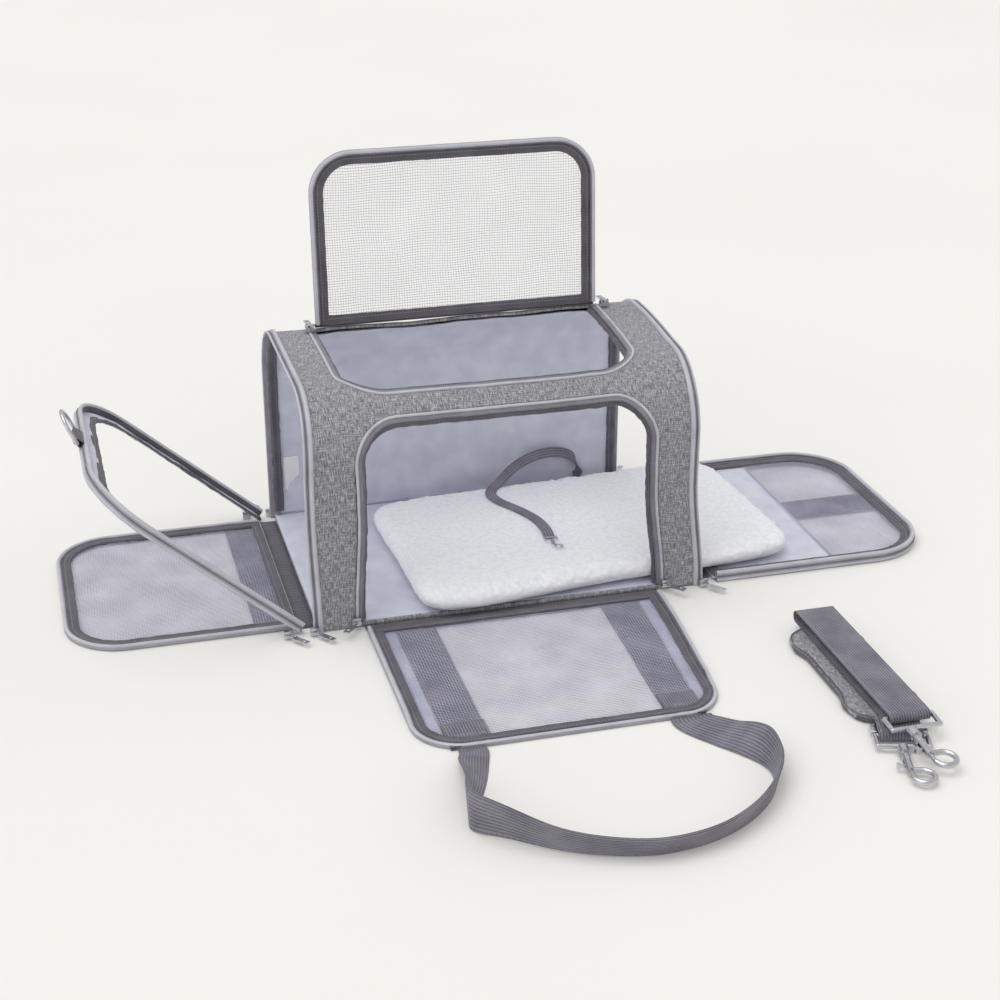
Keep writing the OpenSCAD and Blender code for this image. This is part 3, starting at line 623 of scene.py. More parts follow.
def slack(x, s):
    """How far the cloth stands in or out of true, in mm. The hoops at the ends hold it."""
    held = min(1.0, (LENGTH / 2 - abs(x)) / 45.0) if abs(x) < LENGTH / 2 else 0.0
    foot = min(1.0, min(s, STRIP - s) / 40.0)
    wave = noise.noise(Vector((x / 85.0, s / 70.0, 3.1)))
    ripple = noise.noise(Vector((x / 26.0, s / 30.0, 9.4)))
    return (2.6 * wave + 0.7 * ripple - 0.8) * held * max(0.0, foot)


def ease(t):
    """From 0 to 1 with a soft start and end."""
    t = min(1.0, max(0.0, t))
    return t * t * (3 - 2 * t)


def lean(x, s):
    """How far the unzipped end and the jambs sink in along the bag, in mm."""
    if s > STRIP_MARKS[3]:
        return 0.0
    rise = ease(s / 120.0)
    if x > 0:
        rise *= 1.0 - ease((s - STRIP_MARKS[0] - 40) / 200.0)
        return -10.0 * rise * min(1.0, x / 150.0)
    rise *= 1.0 - ease((s - STRIP_MARKS[0] + 20) / 90.0)
    if x > -158:
        return 5.0 * rise * (-x / 158.0) ** 3
    return rise * (-3.0 + 8.0 * (x + 198) / 40.0)


def cabin(x, s, n):
    y, z, out_y, out_z = arch(s)
    n += slack(x, s)
    return Vector((x + lean(x, s), y + out_y * n, z + out_z * n))


def front_strip(z):
    """Distance along the strip of a height on the front wall or shoulder."""
    if z <= SHOULDER_Z:
        return z
    return SHOULDER_Z + SHOULDER * math.asin(min(1.0, (z - SHOULDER_Z) / SHOULDER))


def roof_strip(y):
    """Distance along the strip of a place across the roof."""
    a, b, c, d = STRIP_MARKS
    if y < -SHOULDER_Y:
        return a + SHOULDER * math.acos((-SHOULDER_Y - y) / SHOULDER)
    if y <= SHOULDER_Y:
        return b + y + SHOULDER_Y
    return c + SHOULDER * math.asin((y - SHOULDER_Y) / SHOULDER)


SILL, FRONT_OPEN_W, FRONT_OPEN_H = 6.0, 316.0, 206.0
TOP_OPEN_W, TOP_OPEN_FRONT, TOP_OPEN_X = 312.0, 103.0, -3.0
TOP_OPEN_L = TOP_HINGE_Y + TOP_OPEN_FRONT


def in_opening(x, s, grow):
    """Whether a place on the strip is inside either opening, grown by a margin."""
    y, z, _, _ = arch(s)
    if s < STRIP_MARKS[1] and inside_outline(x, z - SILL, FRONT_OPEN_W + 2 * grow,
                                              FRONT_OPEN_H + grow, OPEN_R + grow, -grow):
        return True
    return (STRIP_MARKS[0] < s < STRIP_MARKS[3]
            and z > 200 and inside_outline(x - TOP_OPEN_X, TOP_HINGE_Y - y,
                                           TOP_OPEN_W + 2 * grow,
                                           TOP_OPEN_L + grow, OPEN_R + grow, -grow))


def on_cabin(spots, to_strip, shift=0.0):
    """Turns an opening's outline into a path on the strip."""
    path = []
    for (x, y), (ox, oy) in spots:
        x += shift
        s, way = to_strip(y)
        spot = cabin(x, s, 0)
        ahead = (cabin(x, s + 1, 0) - cabin(x, s - 1, 0)).normalized()
        _, _, out_y, out_z = arch(s)
        path.append((spot, Vector((ox, 0, 0)) + ahead * oy * way, Vector((0, out_y, out_z))))
    return path


FRONT_EDGE = on_cabin(u_outline(FRONT_OPEN_W, FRONT_OPEN_H, OPEN_R, 0.0, 4.0),
                      lambda y: (front_strip(SILL + y), 1.0))
TOP_EDGE = on_cabin(u_outline(TOP_OPEN_W, TOP_OPEN_L, OPEN_R, 0.0, 4.0),
                    lambda y: (roof_strip(TOP_HINGE_Y - y), -1.0), TOP_OPEN_X)
print(f"strip {STRIP:.0f} mm long, openings' edges {len(FRONT_EDGE)} and {len(TOP_EDGE)} places")

# %% [markdown]
# The tether is a short flat tape that is sewn in at the back corner of the cabin, climbs
# over the edge of the pad and lies across it to a small hook. It is a free cord, so its
# path comes first: the same places as the plain solid, joined by a smooth curve.

# %% Tether
TETHER_TOP = 30.6
TETHER = [(152, 132, 8, 12, 0, 1.6), (152, 130, 26, 12, 20, 1.6), (143, 127, 42, 12, 50, 1.6),
          (122, 124, 50, 12, 60, 1.6), (96, 120, 49, 12, 50, 1.6), (72, 112, 42, 12, 30, 1.6),
          (52, 98, TETHER_TOP + 3, 12, 10, 1.6), (38, 84, TETHER_TOP, 12, 0, 1.6),
          (33, 68, TETHER_TOP, 12, 0, 1.6), (37, 50, TETHER_TOP, 12, 0, 1.6),
          (47, 32, TETHER_TOP, 12, 0, 1.6), (57, 12, TETHER_TOP, 12, 0, 1.6),
          (64, -10, TETHER_TOP, 12, 0, 1.6), (66, -32, TETHER_TOP, 12, 0, 1.6),
          (64, -53, TETHER_TOP, 12, 0, 1.6)]


def smooth_route(route, steps):
    """Fills in a route of (x, y, z, width, turn, thickness) with a curve through it."""
    fine = []
    last = len(route) - 1
    for i in range(last):
        a, b, c, d = (route[min(max(i + k, 0), last)] for k in (-1, 0, 1, 2))
        for k in range(steps):
            t = k / steps
            fine.append([0.5 * (2 * q + (r - p) * t + (2 * p - 5 * q + 4 * r - s) * t * t
                                + (3 * q - p - 3 * r + s) * t ** 3)
                         for p, q, r, s in zip(a, b, c, d)])
    fine.append(list(route[last]))
    return fine


def ribbon(name, route, steps, made, across=4):
    """A flat tape through a route. Returns the piece and its middle line in metres."""
    fine = smooth_route(route, steps)
    spots = [Vector(s[:3]) for s in fine]
    rings = []
    for i, s in enumerate(fine):
        ahead = (spots[min(i + 1, len(fine) - 1)] - spots[max(i - 1, 0)]).normalized()
        level = ahead.cross(Vector((0, 0, 1))).normalized()
        up = level.cross(ahead)
        turn = math.radians(s[4])
        rings.append((level * math.cos(turn) + up * math.sin(turn),
                      up * math.cos(turn) - level * math.sin(turn), s[3] / 2, s[5] / 2))
    section = flat_section(-1, 1, -1, 1, across, 0.06)
    nu, nv = len(fine) - 1, len(section)
    length = sum((b - a).length for a, b in zip(spots, spots[1:]))

    def place(u, v):
        i, k = round(u * nu), round(v * nv) % nv
        wide, thick, half_w, half_t = rings[i]
        b, n = section[k]
        return spots[i] + wide * b * half_w + thick * n * half_t

    bm = grid_mesh(nu, nv, place, (length * MM, (2 * fine[0][3] + 2 * fine[0][5]) * MM))
    bmesh.ops.remove_doubles(bm, verts=bm.verts, dist=1e-6)
    bmesh.ops.holes_fill(bm, edges=[e for e in bm.edges if len(e.link_faces) == 1], sides=0)
    return finished(name, bm, made, 0.9, normals=True), [p * MM for p in spots]


tether, tether_line = ribbon("tether", TETHER, 6, WEBBING)
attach(tether, "cabin")
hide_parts("tether_tape")

# %% [markdown]
# Every later piece says two things to the frame: the body it rides on and the plain solids
# it stands for. One short call says both.

# %% Settling a piece


def settle(piece, body, slot, *nodes):
    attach(piece, body)
    if nodes:
        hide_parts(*nodes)
    return piece


# %% [markdown]
# The outer wrap is laid as one grid with the two openings left out. Their rough edges are
# covered later, outside by the zips and inside by the bindings, as on the real bag.

# %% Wrap and lining
wrap = lay("wrap", 158, 278, lambda u, v: cabin((u - 0.5) * LENGTH, v * STRIP, -WALL / 2),
           (LENGTH * MM, STRIP * MM), HEATHER,
           keep=lambda u, v: not in_opening((u - 0.5) * LENGTH, v * STRIP, 1.2), thick=WALL)
settle(wrap, "cabin", "heather", "front_panel", "roof_panel", "rear_panel")


def lining_place(u, v):
    x, s = (u - 0.5) * (LENGTH - 8), FLOOR_Z + v * (STRIP - 2 * FLOOR_Z)
    here = Vector((x / 34, s / 46, 2.2))
    pucker = 1.2 * abs(noise.noise(here)) + 0.8 * abs(noise.noise(here * 2.7))
    bow = math.sin(s / 9.5 + 2.5 * noise.noise(Vector((x / 90, s / 60, 8.8))))
    inner = max(0.0, min(1.0, (190 - abs(x)) / 40))
    return cabin(x, s, -WALL - 0.9 - pucker - 1.3 * inner * (1 + bow))


lining = lay("satin_wall", 97, 170, lining_place, (LENGTH * MM, STRIP * MM), SATIN,
             keep=lambda u, v: not in_opening((u - 0.5) * (LENGTH - 8),
                                              FLOOR_Z + v * (STRIP - 2 * FLOOR_Z), 3.5),
             thick=0.8)
settle(lining, "cabin", "lining", "cabin_lining")


def base_place(z, wave, inset=0.0):
    def place(u, v):
        x = (u - 0.5) * (LENGTH - 2 * inset)
        y = (v - 0.5) * (WIDTH - 2 * WALL - 2 * inset)
        return x, y, z + wave * noise.noise(Vector((x / 40, y / 34, 5.5)))
    return place


BASE_SIZE = (0.396, 0.274)
floor_cloth = lay("cabin_floor", 80, 56, base_place(4.4, 0.35), BASE_SIZE, SATIN, thick=0.8)
settle(floor_cloth, "cabin", "lining", "floor_lining")
base_cloth = lay("base_cloth", 40, 28, base_place(0.65, 0.1), BASE_SIZE, HEATHER, thick=1.0)
settle(base_cloth, "cabin", "heather", "base_cover")
print("wrap faces:", len(wrap.data.polygons), "lining faces:", len(lining.data.polygons))

# %% [markdown]
# Each end of the wrap has a rim: a bright corded bead sewn to a zip tape with a row of
# coil, and inside it a dark binding gathered over the spring wire. The binding is uneven,
# because the needle pulls the cloth into small puckers.

# %% Rims of the cabin


def arch_path(x, side, step=5.0):
    count = round(STRIP / step)
    path = []
    for i in range(count + 1):
        s = STRIP * i / count
        _, _, out_y, out_z = arch(s)
        path.append((cabin(x, s, 0), Vector((side, 0, 0)), Vector((0, out_y, out_z))))
    return path


def inner_arch_path(x, side):
    path = arch_path(x, side)
    return [spot for spot in path if spot[0].z > FLOOR_Z + 1]


for side in (-1, 1):
    end = side * LENGTH / 2
    label = "left" if side < 0 else "right"
    path = arch_path(end, side)
    bead = sweep(f"{label}_rim_bead", path, round_section(-2.4, 0.4, 2.4), BEAD, 0.25, 5.0)
    tape = sweep(f"{label}_rim_tape", path, flat_section(-0.5, 4.6, -1.4, 0.6), TAPE, 0.25)
    coil = sweep(f"{label}_rim_coil", path, round_section(1.6, 0.7, 0.8, 6), COIL, 0.2, 3.0)
    lip = sweep(f"{label}_rim_edge", path, round_section(3.9, 0.2, 1.1, 6), BEAD, 0.2, 5.0)
    bind = sweep(f"{label}_rim_binding", inner_arch_path(end, side),
                 flat_section(-10.5, -0.2, -8.0, -3.4, 5, 1.2), BINDING, 0.9, 7.0)
    for piece in (bead, tape, coil, lip):
        settle(piece, "cabin", "piping", "rim_piping")
    settle(bind, "cabin", "binding", "rim_bindings")
print("rims done")

# %% [markdown]
# Round each opening runs a bright bead along the cloth's edge, and inside it the other half
# of the flap's zip, a tape with a row of coil. A dark gathered binding wraps the raw
# edge from within.

# %% Edges of the openings


def opening_edge(name, path, zip_node, binding_node):
    tape = sweep(f"{name}_tape", path, flat_section(-4.8, 1.0, -1.4, 0.0), EDGE_TAPE, 0.25)
    bead = sweep(f"{name}_bead", path, round_section(0.8, 0.4, 1.5), BEAD, 0.2, 5.0)
    coil = sweep(f"{name}_coil", path, round_section(-4.9, -0.3, 0.9, 6), COIL, 0.2, 3.0)
    for piece in (tape, bead, coil):
        settle(piece, "cabin", "piping", zip_node)
    wrapped = [(-5.4, -2.2), (-3.0, -1.7), (1.0, -1.9), (3.0, -3.9), (8.6, -4.4), (9.4, -5.4),
               (8.4, -6.4), (-2.0, -7.4), (-7.6, -8.0), (-8.6, -6.2), (-7.6, -3.6)]
    bind = sweep(f"{name}_binding", path, wrapped, BINDING, 0.9, 7.0)
    settle(bind, "cabin", "binding", binding_node)


opening_edge("front_opening", FRONT_EDGE, "front_opening_zip", "front_opening_binding")
opening_edge("top_opening", TOP_EDGE, "top_opening_zip", "top_opening_binding")

# %% [markdown]
# Dark tapes join the base to the three flaps that lie on the floor, and the roof to its
# flap, where a narrow strip also stands up behind the opening. A plain white label is sewn
# to the rear wall.

# %% Hinge tapes and label


def tape_patch(name, x0, x1, y0, y1, z, thick, made, wave=0.3):
    nu, nv = max(2, round((x1 - x0) / 5)), max(2, round((y1 - y0) / 5))

    def place(u, v):
        x, y = x0 + (x1 - x0) * u, y0 + (y1 - y0) * v
        return x, y, z + wave * noise.noise(Vector((x / 7, y / 7, 1.7)))

    return lay(name, nu, nv, place, ((x1 - x0) * MM, (y1 - y0) * MM), made, thick=thick)


def top_web_place(u, v):
    """An upright strip that closes the slot between the roof and its raised flap."""
    return -TOP_W / 2 + TOP_W * u, 85.2 - 0.8 * v, HEIGHT + 4.2 * v


TAPE_IN, TAPE_OUT, TAPE_HALF, FLAP_HALF = 198.4, 215.6, DOOR_W / 2, FRONT_W / 2
for label, box in (("left", (-TAPE_OUT, -TAPE_IN, -TAPE_HALF, TAPE_HALF)),
                   ("right", (TAPE_IN, TAPE_OUT, -TAPE_HALF, TAPE_HALF)),
                   ("front", (-FLAP_HALF, FLAP_HALF, -150.6, -140.4))):
    settle(tape_patch(f"{label}_hinge_tape", *box, 0.5, 0.7, BINDING), "cabin", "binding",
           "hinge_tapes")
settle(tape_patch("top_hinge_tape", -FLAP_HALF, FLAP_HALF, 84.2, 93.0, 236.9, 1.2, BINDING),
       "cabin", "binding", "hinge_tapes")
settle(lay("top_hinge_web", 60, 3, top_web_place, (0.304, 0.006), BINDING, thick=0.5), "cabin",
       "binding", "hinge_tapes")
label = lay("blank_label_tag", 8, 16,
            lambda u, v: (-186 + 18 * u, 134.6 - 0.5 * math.sin(3.1 * v), 33 + 40 * v),
            (0.018, 0.040), LABEL, thick=0.5)
settle(label, "cabin", "label", "care_label")

# %% [markdown]
# The netting is a real net here: a grid whose every edge becomes a thread. The grid is
# warped a little first, since stretched net never hangs square. The cells outside
# the panel's outline are taken away before the threads are made.

# %% Netting


def netting(name, matrix, w, l, r, z, low, high, pitch=2.7, thread=0.62, warp=2.2,
            made=NET):
    """A net panel between two distances from its hinge, inside a U outline."""
    nu, nv = round(w / pitch), round((high - low) / pitch)

    def place(u, v):
        x, y = (u - 0.5) * w, low + (high - low) * v
        pull = min(1.0, u * (1 - u) * 14, v * (1 - v) * 14)
        here = Vector((x / 46, y / 46, len(name)))
        x += pull * warp * noise.noise(here)
        y += pull * warp * noise.noise(here + Vector((9, 4, 2)))
        rise = 0.35 * pull * noise.noise(here * 1.3 + Vector((1, 7, 3)))
        return matrix @ Vector((x, y, z + rise))

    bm = grid_mesh(nu, nv, place, (w * MM, (high - low) * MM),
                   keep=lambda u, v: inside_outline((u - 0.5) * w, low + (high - low) * v,
                                                    w, l, r))
    bmesh.ops.wireframe(bm, faces=bm.faces, thickness=thread * MM, offset=0.0,
                        use_replace=True, use_boundary=True, use_even_offset=False)
    piece = finished(name, bm, made, 1.2)
    print(name, len(piece.data.polygons), "faces")
    return piece


# %% [markdown]
# A flap's edge has three layers. Outside runs a bright bead on a stiff tape, with the
# coil of the zip just inside it. Then comes the dark gathered binding that holds the net.

# %% Edges of the flaps


def flap_edge(name, matrix, w, l, r, height, net_z, tall=lambda y: 1.0, tape=None):
    spots = u_outline(w, l, r)
    path = on_plane(spots, matrix, tall)
    level = on_plane(spots, matrix)
    shell = [(0, 0.6), (-0.6, 0.1), (-4.4, 0.1), (-4.8, 0.8), (-4.8, height - 2.2),
             (-4.2, height - 1.6), (-0.8, height - 1.6), (0, height - 2.4)]
    wall = sweep(f"{name}_zip_tape", path, shell, tape or TAPE, 0.2)
    bead = sweep(f"{name}_bead", path, round_section(-1.9, height - 1.9, 1.9), BEAD, 0.15, 5.0)
    coil = sweep(f"{name}_coil", path, round_section(-4.6, height - 2.2, 0.9, 6), COIL, 0.2, 3.0)
    bind = sweep(f"{name}_binding", level,
                 flat_section(-14.8, -4.9, net_z - 0.9, net_z + 1.7, 4, 0.5), BINDING, 0.55, 7.0)
    return wall, bead, coil, bind


def hinge_binding(name, matrix, w, z):
    half = w / 2 - 6
    path = [(matrix @ Vector((-half + 2 * half * i / 60, 0, 0)),
             matrix.to_3x3() @ Vector((0, 1, 0)), matrix.to_3x3() @ Vector((0, 0, 1)))
            for i in range(61)]
    return sweep(name, path, flat_section(1.2, 11.2, z - 0.9, z + 1.6, 4, 0.5), BINDING, 0.5, 7.0)


# %% [markdown]
# The front flap lies on the floor in front of the bag. The end of it bends up over the
# shoulder when the bag is shut. Its hinge binding rides on the flap's body and the stitches
# at its end on the body of that end; its long pieces are drawn in at the far corner and
# baked in place.

# %% Front flap


def bent_height(y):
    """The rim is lower past the bend, so that it can close on the shoulder."""
    return 1.0 if y < 170 else max(0.55, 1.0 - 0.45 * (y - 170) / 18)


CORNER_PULL = 15.0


def draw_in(piece):
    """Pulls the flap's far right corner in, where the slack net lets it curl."""
    for vert in piece.data.vertices:
        x, y = vert.co.x / MM, vert.co.y / MM
        reach = ease((-y - FRONT_HINGE) / FRONT_L)
        if x > 0:
            vert.co.x -= CORNER_PULL * reach * (min(x, FRONT_W / 2) / (FRONT_W / 2)) ** 1.4 * MM


def blend_flap(piece, slot, *nodes):
    draw_in(piece)
    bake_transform(piece)
    if nodes:
        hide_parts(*nodes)


front_net = netting("front_netting", FRONT, FRONT_W - 12, FRONT_L - 7, 40, 1.7, 3, FRONT_L - 7)
blend_flap(front_net, "netting", "front_mesh", "front_mesh_top")
wall, bead, coil, bind = flap_edge("front_flap", FRONT, FRONT_W, FRONT_L, OPEN_R, 8.0, 2.4,
                                   bent_height)
for piece in (wall, bead, coil):
    blend_flap(piece, "piping", "front_flap_zip", "front_flap_zip_top")
blend_flap(bind, "binding", "front_flap_binding")
settle(hinge_binding("front_hinge_binding", FRONT, FRONT_W, 2.4), "front_flap", "binding",
       "front_flap_binding")


def flap_strip(name, matrix, x0, x1, l0, l1, n0, n1, made, wave=0.0):
    """A flat strip that runs out from a flap's hinge."""
    count = max(4, round((l1 - l0) / 5))
    path = [(matrix @ Vector(((x0 + x1) / 2, l0 + (l1 - l0) * i / count, 0)),
             matrix.to_3x3() @ Vector((1, 0, 0)), matrix.to_3x3() @ Vector((0, 0, 1)))
            for i in range(count + 1)]
    half = (x1 - x0) / 2
    return sweep(name, path, flat_section(-half, half, n0, n1, 8, 0.25), made, wave, 12.0)


for side in (-1, 1):
    label = "left" if side > 0 else "right"
    middle = side * WEB_X
    strap = flap_strip(f"front_{label}_webbing", FRONT, middle - WEB_W / 2, middle + WEB_W / 2,
                       1, FRONT_L - 1, 0.05, 0.95, WEBBING, 0.1)
    blend_flap(strap, "webbing", "front_flap_webbing")
    inner, outer = sorted((side * 126.0, side * 138.0))
    edge = flap_strip(f"front_{label}_satin", FRONT, inner, outer, 10, FRONT_L - 14, 0.1, 1.0,
                      SATIN, 0.35)
    blend_flap(edge, "lining")

# %% [markdown]
# Where the webbing ends it is sewn down with a square and a cross of thick thread. The
# stitches are small raised bars, each one a short round stroke laid along the seam.

# %% Stitched patches


def stitch_run(bm, matrix, start, end, z, pitch=3.4, r=0.28):
    """Lays one row of stitches from one place to another on a panel's plane."""
    start, end = Vector(start), Vector(end)
    count = max(1, round((end - start).length / pitch))
    ahead = (end - start).normalized()
    for i in range(count):
        a = start + (end - start) * (i + 0.15) / count
        b = start + (end - start) * (i + 0.85) / count
        middle = matrix @ Vector(((a.x + b.x) / 2, (a.y + b.y) / 2, z))
        lie = matrix.to_3x3() @ Vector((ahead.x, ahead.y, 0))
        turn = lie.to_track_quat("Z", "Y").to_matrix().to_4x4()
        bmesh.ops.create_cone(bm, cap_ends=True, segments=6, radius1=r * MM, radius2=r * MM,
                              depth=(b - a).length * MM,
                              matrix=Matrix.Translation(middle * MM) @ turn)


THREAD = cloth("sewing_thread", linear(150, 148, 158), linear(186, 184, 194), 0.6, 0.1,
               2500.0, 2500.0, 0.3, 0.0002, uv=False)


def box_stitch(name, matrix, x0, x1, y0, y1, z):
    bm = bmesh.new()
    corners = [(x0, y0), (x1, y0), (x1, y1), (x0, y1)]
    for k in range(4):
        stitch_run(bm, matrix, corners[k], corners[(k + 1) % 4], z)
    stitch_run(bm, matrix, corners[0], corners[2], z)
    stitch_run(bm, matrix, corners[1], corners[3], z)
    return finished(name, bm, THREAD, 0.9)


for side in (-1, 1):
    label = "left" if side > 0 else "right"
    middle = side * WEB_X
    high = flap_strip(f"front_{label}_patch_high", FRONT, middle - WEB_W / 2,
                      middle + WEB_W / 2, 196, 235, 2.2, 3.6, WEBBING, 0.1)
    blend_flap(high, "webbing")
    settle(box_stitch(f"front_{label}_stitches_high", FRONT, middle - 16, middle + 16, 217, 232,
                      3.6), "front_flap_top", "webbing")
print("front flap done")

# %% [markdown]
# The front handle is a loop of the same webbing. At its left end it leaves the flap narrow,
# then it turns up on its edge, and its middle is folded in two for the hand.

# %% Front handle
HANDLE_START = -(FRONT_HINGE + FRONT_L + 0.6)
HANDLE = [(-106, HANDLE_START, 1, 26, 0, 1.6), (-106, HANDLE_START - 3, 1, 26, 0, 1.6),
          (-106, HANDLE_START - 9, 1.4, 26, 2, 1.6), (-112, -416, 4, 28, 18, 1.6),
          (-120, -446, 10, 32, 48, 1.6), (-131, -480, 17, 38, 76, 1.6),
          (-138, -508, 20, 40, 88, 1.6), (-114, -530, 18, 35, 83, 2),
          (-78, -556, 13, 25, 78, 2.8), (-40, -574, 11, 21, 74, 3.4),
          (2, -584, 10.5, 21, 68, 3.4), (48, -578, 10.5, 21, 68, 3.4),
          (88, -558, 11, 21, 75, 3.4), (118, -530, 12, 22, 80, 3),
          (134, -501, 13, 25, 74, 2.4), (135, -474, 14, 31, 58, 1.8),
          (129, -449, 10, 36, 30, 1.6), (117, -426, 4, 40, 9, 1.6),
          (104, -408, 2, 40, 4, 1.6), (98, HANDLE_START - 9, 1.2, 40, 1, 1.6),
          (98, HANDLE_START - 3, 1, 40, 0, 1.6), (98, HANDLE_START, 1, 40, 0, 1.6)]
handle, handle_line = ribbon("front_handle_webbing", HANDLE, 6, WEBBING, 10)
settle(handle, "front_handle", "webbing", "front_handle")
print("front handle", round(1000 * sum((b - a).length for a, b in
                                       zip(handle_line, handle_line[1:]))), "mm round")

# %% [markdown]
# The top flap stands open behind the roof. It is the same net, binding and bead as the
# front flap, on one body, but its net threads are painted lighter: painted light for a flap that
# leans back, away from the lamps.

# %% Top flap
settle(netting("top_netting", TOP, TOP_W - 12, TOP_L - 7, 38, 1.7, 3, TOP_L - 7, thread=0.55,
               made=NET_WITH_PAINTED_LIGHT), "top_flap", "netting", "top_mesh")
wall, bead, coil, bind = flap_edge("top_flap", TOP, TOP_W, TOP_L, OPEN_R - 2, 8.0, 2.4)
for piece in (wall, bead, coil):
    settle(piece, "top_flap", "piping", "top_flap_zip")
settle(bind, "top_flap", "binding", "top_flap_binding")
settle(hinge_binding("top_hinge_binding", TOP, TOP_W, 2.4), "top_flap", "binding",
       "top_flap_binding")

# %% [markdown]
# The left end opens in two layers. The frame is a deep gusset with a wide lining at its
# far side and a dark edge round its hole; the door in front of it is net. The lining
# band is laid between two outlines, the outer one and the edge of the hole.

# %% Left frame
FRAME_SIDE, FRAME_TOP = 8.0, 22.0


def gusset(name, matrix, w, l, r, height):
    path = on_plane(u_outline(w, l, r), matrix)
    shell = [(0, 0.5), (-0.5, 0), (-2.2, 0), (-2.6, 0.5), (-2.6, height - 2), (-2.0, height - 0.9),
             (-0.6, height - 0.9), (0, height - 2)]
    return (sweep(f"{name}_tape", path, shell, TAPE, 0.3, 12.0),
            sweep(f"{name}_outer_bead", path, round_section(-1.2, 2.1, 2.1), BEAD, 0.15, 5.0),
            sweep(f"{name}_inner_bead", path, round_section(-1.4, height - 2.1, 2.1), BEAD,
                  0.15, 5.0),
            sweep(f"{name}_outer_coil", path, round_section(0.0, height / 2, 0.8, 6), COIL,
                  0.2, 3.0),
            sweep(f"{name}_coil", path, round_section(-3.0, height - 3.6, 0.9, 6), COIL, 0.2, 3.0))


for piece in gusset("left_frame", FRAME, END_W, END_L, END_R, END_H):
    settle(piece, "left_frame", "piping", "left_frame_gusset")
settle(sweep("left_frame_inner_band", on_plane(u_outline(END_W, END_L, END_R), FRAME),
             flat_section(-4.6, -2.8, 1.2, END_H - 2.4, 4, 0.5), BINDING, 0.5, 9.0),
       "left_frame", "binding")
COUNTS = (36, 20, 28)
outer_spots = u_outline(END_W - 5, END_L - 2.5, END_R - 2.5, 1.0, counts=COUNTS)
hole_spots = u_outline(END_W - 5 - 2 * FRAME_SIDE, END_L - 2.5 - FRAME_TOP, END_R - 14, 1.0,
                       counts=COUNTS)


def frame_lining_place(u, v):
    i = round(u * (len(outer_spots) - 1))
    (x, y), inner = outer_spots[i][0], hole_spots[i][0]
    here = Vector((x / 22, y / 22, 4 * v))
    puff = 2.2 * math.sin(math.pi * v) + 1.2 * noise.noise(here) * math.sin(math.pi * v)
    return FRAME @ Vector((x + (inner[0] - x) * v, y + (inner[1] - y) * v, 1.9 + max(puff, -0.5)))


settle(lay("left_frame_satin", len(outer_spots) - 1, 8, frame_lining_place, (0.64, 0.022), SATIN,
           thick=1.2), "left_frame", "lining", "left_frame_lining")
settle(sweep("left_frame_hole_binding", on_plane(hole_spots, FRAME),
             flat_section(-0.6, 9.0, 1.6, 4.4, 4, 0.8), BINDING, 0.7, 7.0),
       "left_frame", "binding", "left_frame_binding")
print("left frame done")

# %% [markdown]
# A short tape holds the D-ring at the middle of the frame's far edge. It goes round the
# ring's straight bar and back, so it is swept along that path as a flat strip.

# %% Ring tabs


def tab(name, matrix, bar, r, reach_low, reach_high, width, thick=1.2, low_end=None):
    """A tape folded round a bar at (l, z), drawn in a panel's own l and z."""
    l0, z0 = bar
    spots = [(l0 - reach_high, z0 + r), (l0 - reach_high * 0.5, z0 + r), (l0, z0 + r)]
    spots += [(l0 + r * math.sin(math.pi * k / 8), z0 + r * math.cos(math.pi * k / 8))
              for k in range(1, 8)]
    spots += [(l0, z0 - r), (l0 - reach_low * 0.5, low_end or z0 - r),
              (l0 - reach_low, low_end or z0 - r)]
    path = []
    for i, (l, z) in enumerate(spots):
        before, after = spots[max(i - 1, 0)], spots[min(i + 1, len(spots) - 1)]
        dl, dz = after[0] - before[0], after[1] - before[1]
        size = math.hypot(dl, dz)
        path.append((matrix @ Vector((0, l, z)), matrix.to_3x3() @ Vector((1, 0, 0)),
                     matrix.to_3x3() @ Vector((0, -dz / size, dl / size))))
    return sweep(name, path, flat_section(-width / 2, width / 2, -thick / 2, thick / 2, 6, 0.2),
                 BINDING)


settle(tab("left_tab", FRAME, (END_L + 7, 6.3), 2.9, 9, 9, 29), "left_frame", "binding",
       "left_ring_tab")

# %% [markdown]
# The left door lies flat on the floor under the frame. Below its net runs a strip of
# webbing along the hinge.

# %% Left door
settle(netting("left_netting", DOOR, DOOR_W - 12, DOOR_L - 7, 52, 1.7, 3, DOOR_L - 7),
       "left_door", "netting", "left_mesh")
wall, bead, coil, bind = flap_edge("left_door", DOOR, DOOR_W, DOOR_L, DOOR_R, 6.0, 2.4)
for piece in (wall, bead, coil):
    settle(piece, "left_door", "piping", "left_door_zip")
settle(bind, "left_door", "binding", "left_door_binding")
settle(hinge_binding("left_door_hinge_binding", DOOR, DOOR_W, 2.4), "left_door", "binding",
       "left_door_binding")


def cross_strip(name, matrix, half, l0, l1, n0, n1, made, wave=0.1):
    """A flat strip that runs across a panel, parallel to its hinge."""
    middle = (l0 + l1) / 2
    path = [(matrix @ Vector((-half + half * i / 25, middle, 0)),
             matrix.to_3x3() @ Vector((0, 1, 0)), matrix.to_3x3() @ Vector((0, 0, 1)))
            for i in range(51)]
    return sweep(name, path, flat_section((l0 - l1) / 2, (l1 - l0) / 2, n0, n1, 8, 0.25), made,
                 wave, 12.0)


settle(cross_strip("left_door_strap", DOOR, DOOR_W / 2 - 6, 2, 41, 0.05, 0.95, WEBBING),
       "left_door", "webbing", "left_door_webbing")

# %% [markdown]
# The right end panel is net only at its far half. The near half is a padded band of
# lining, under the fleece pad. A webbing strip under the net ends at a flat D-ring.

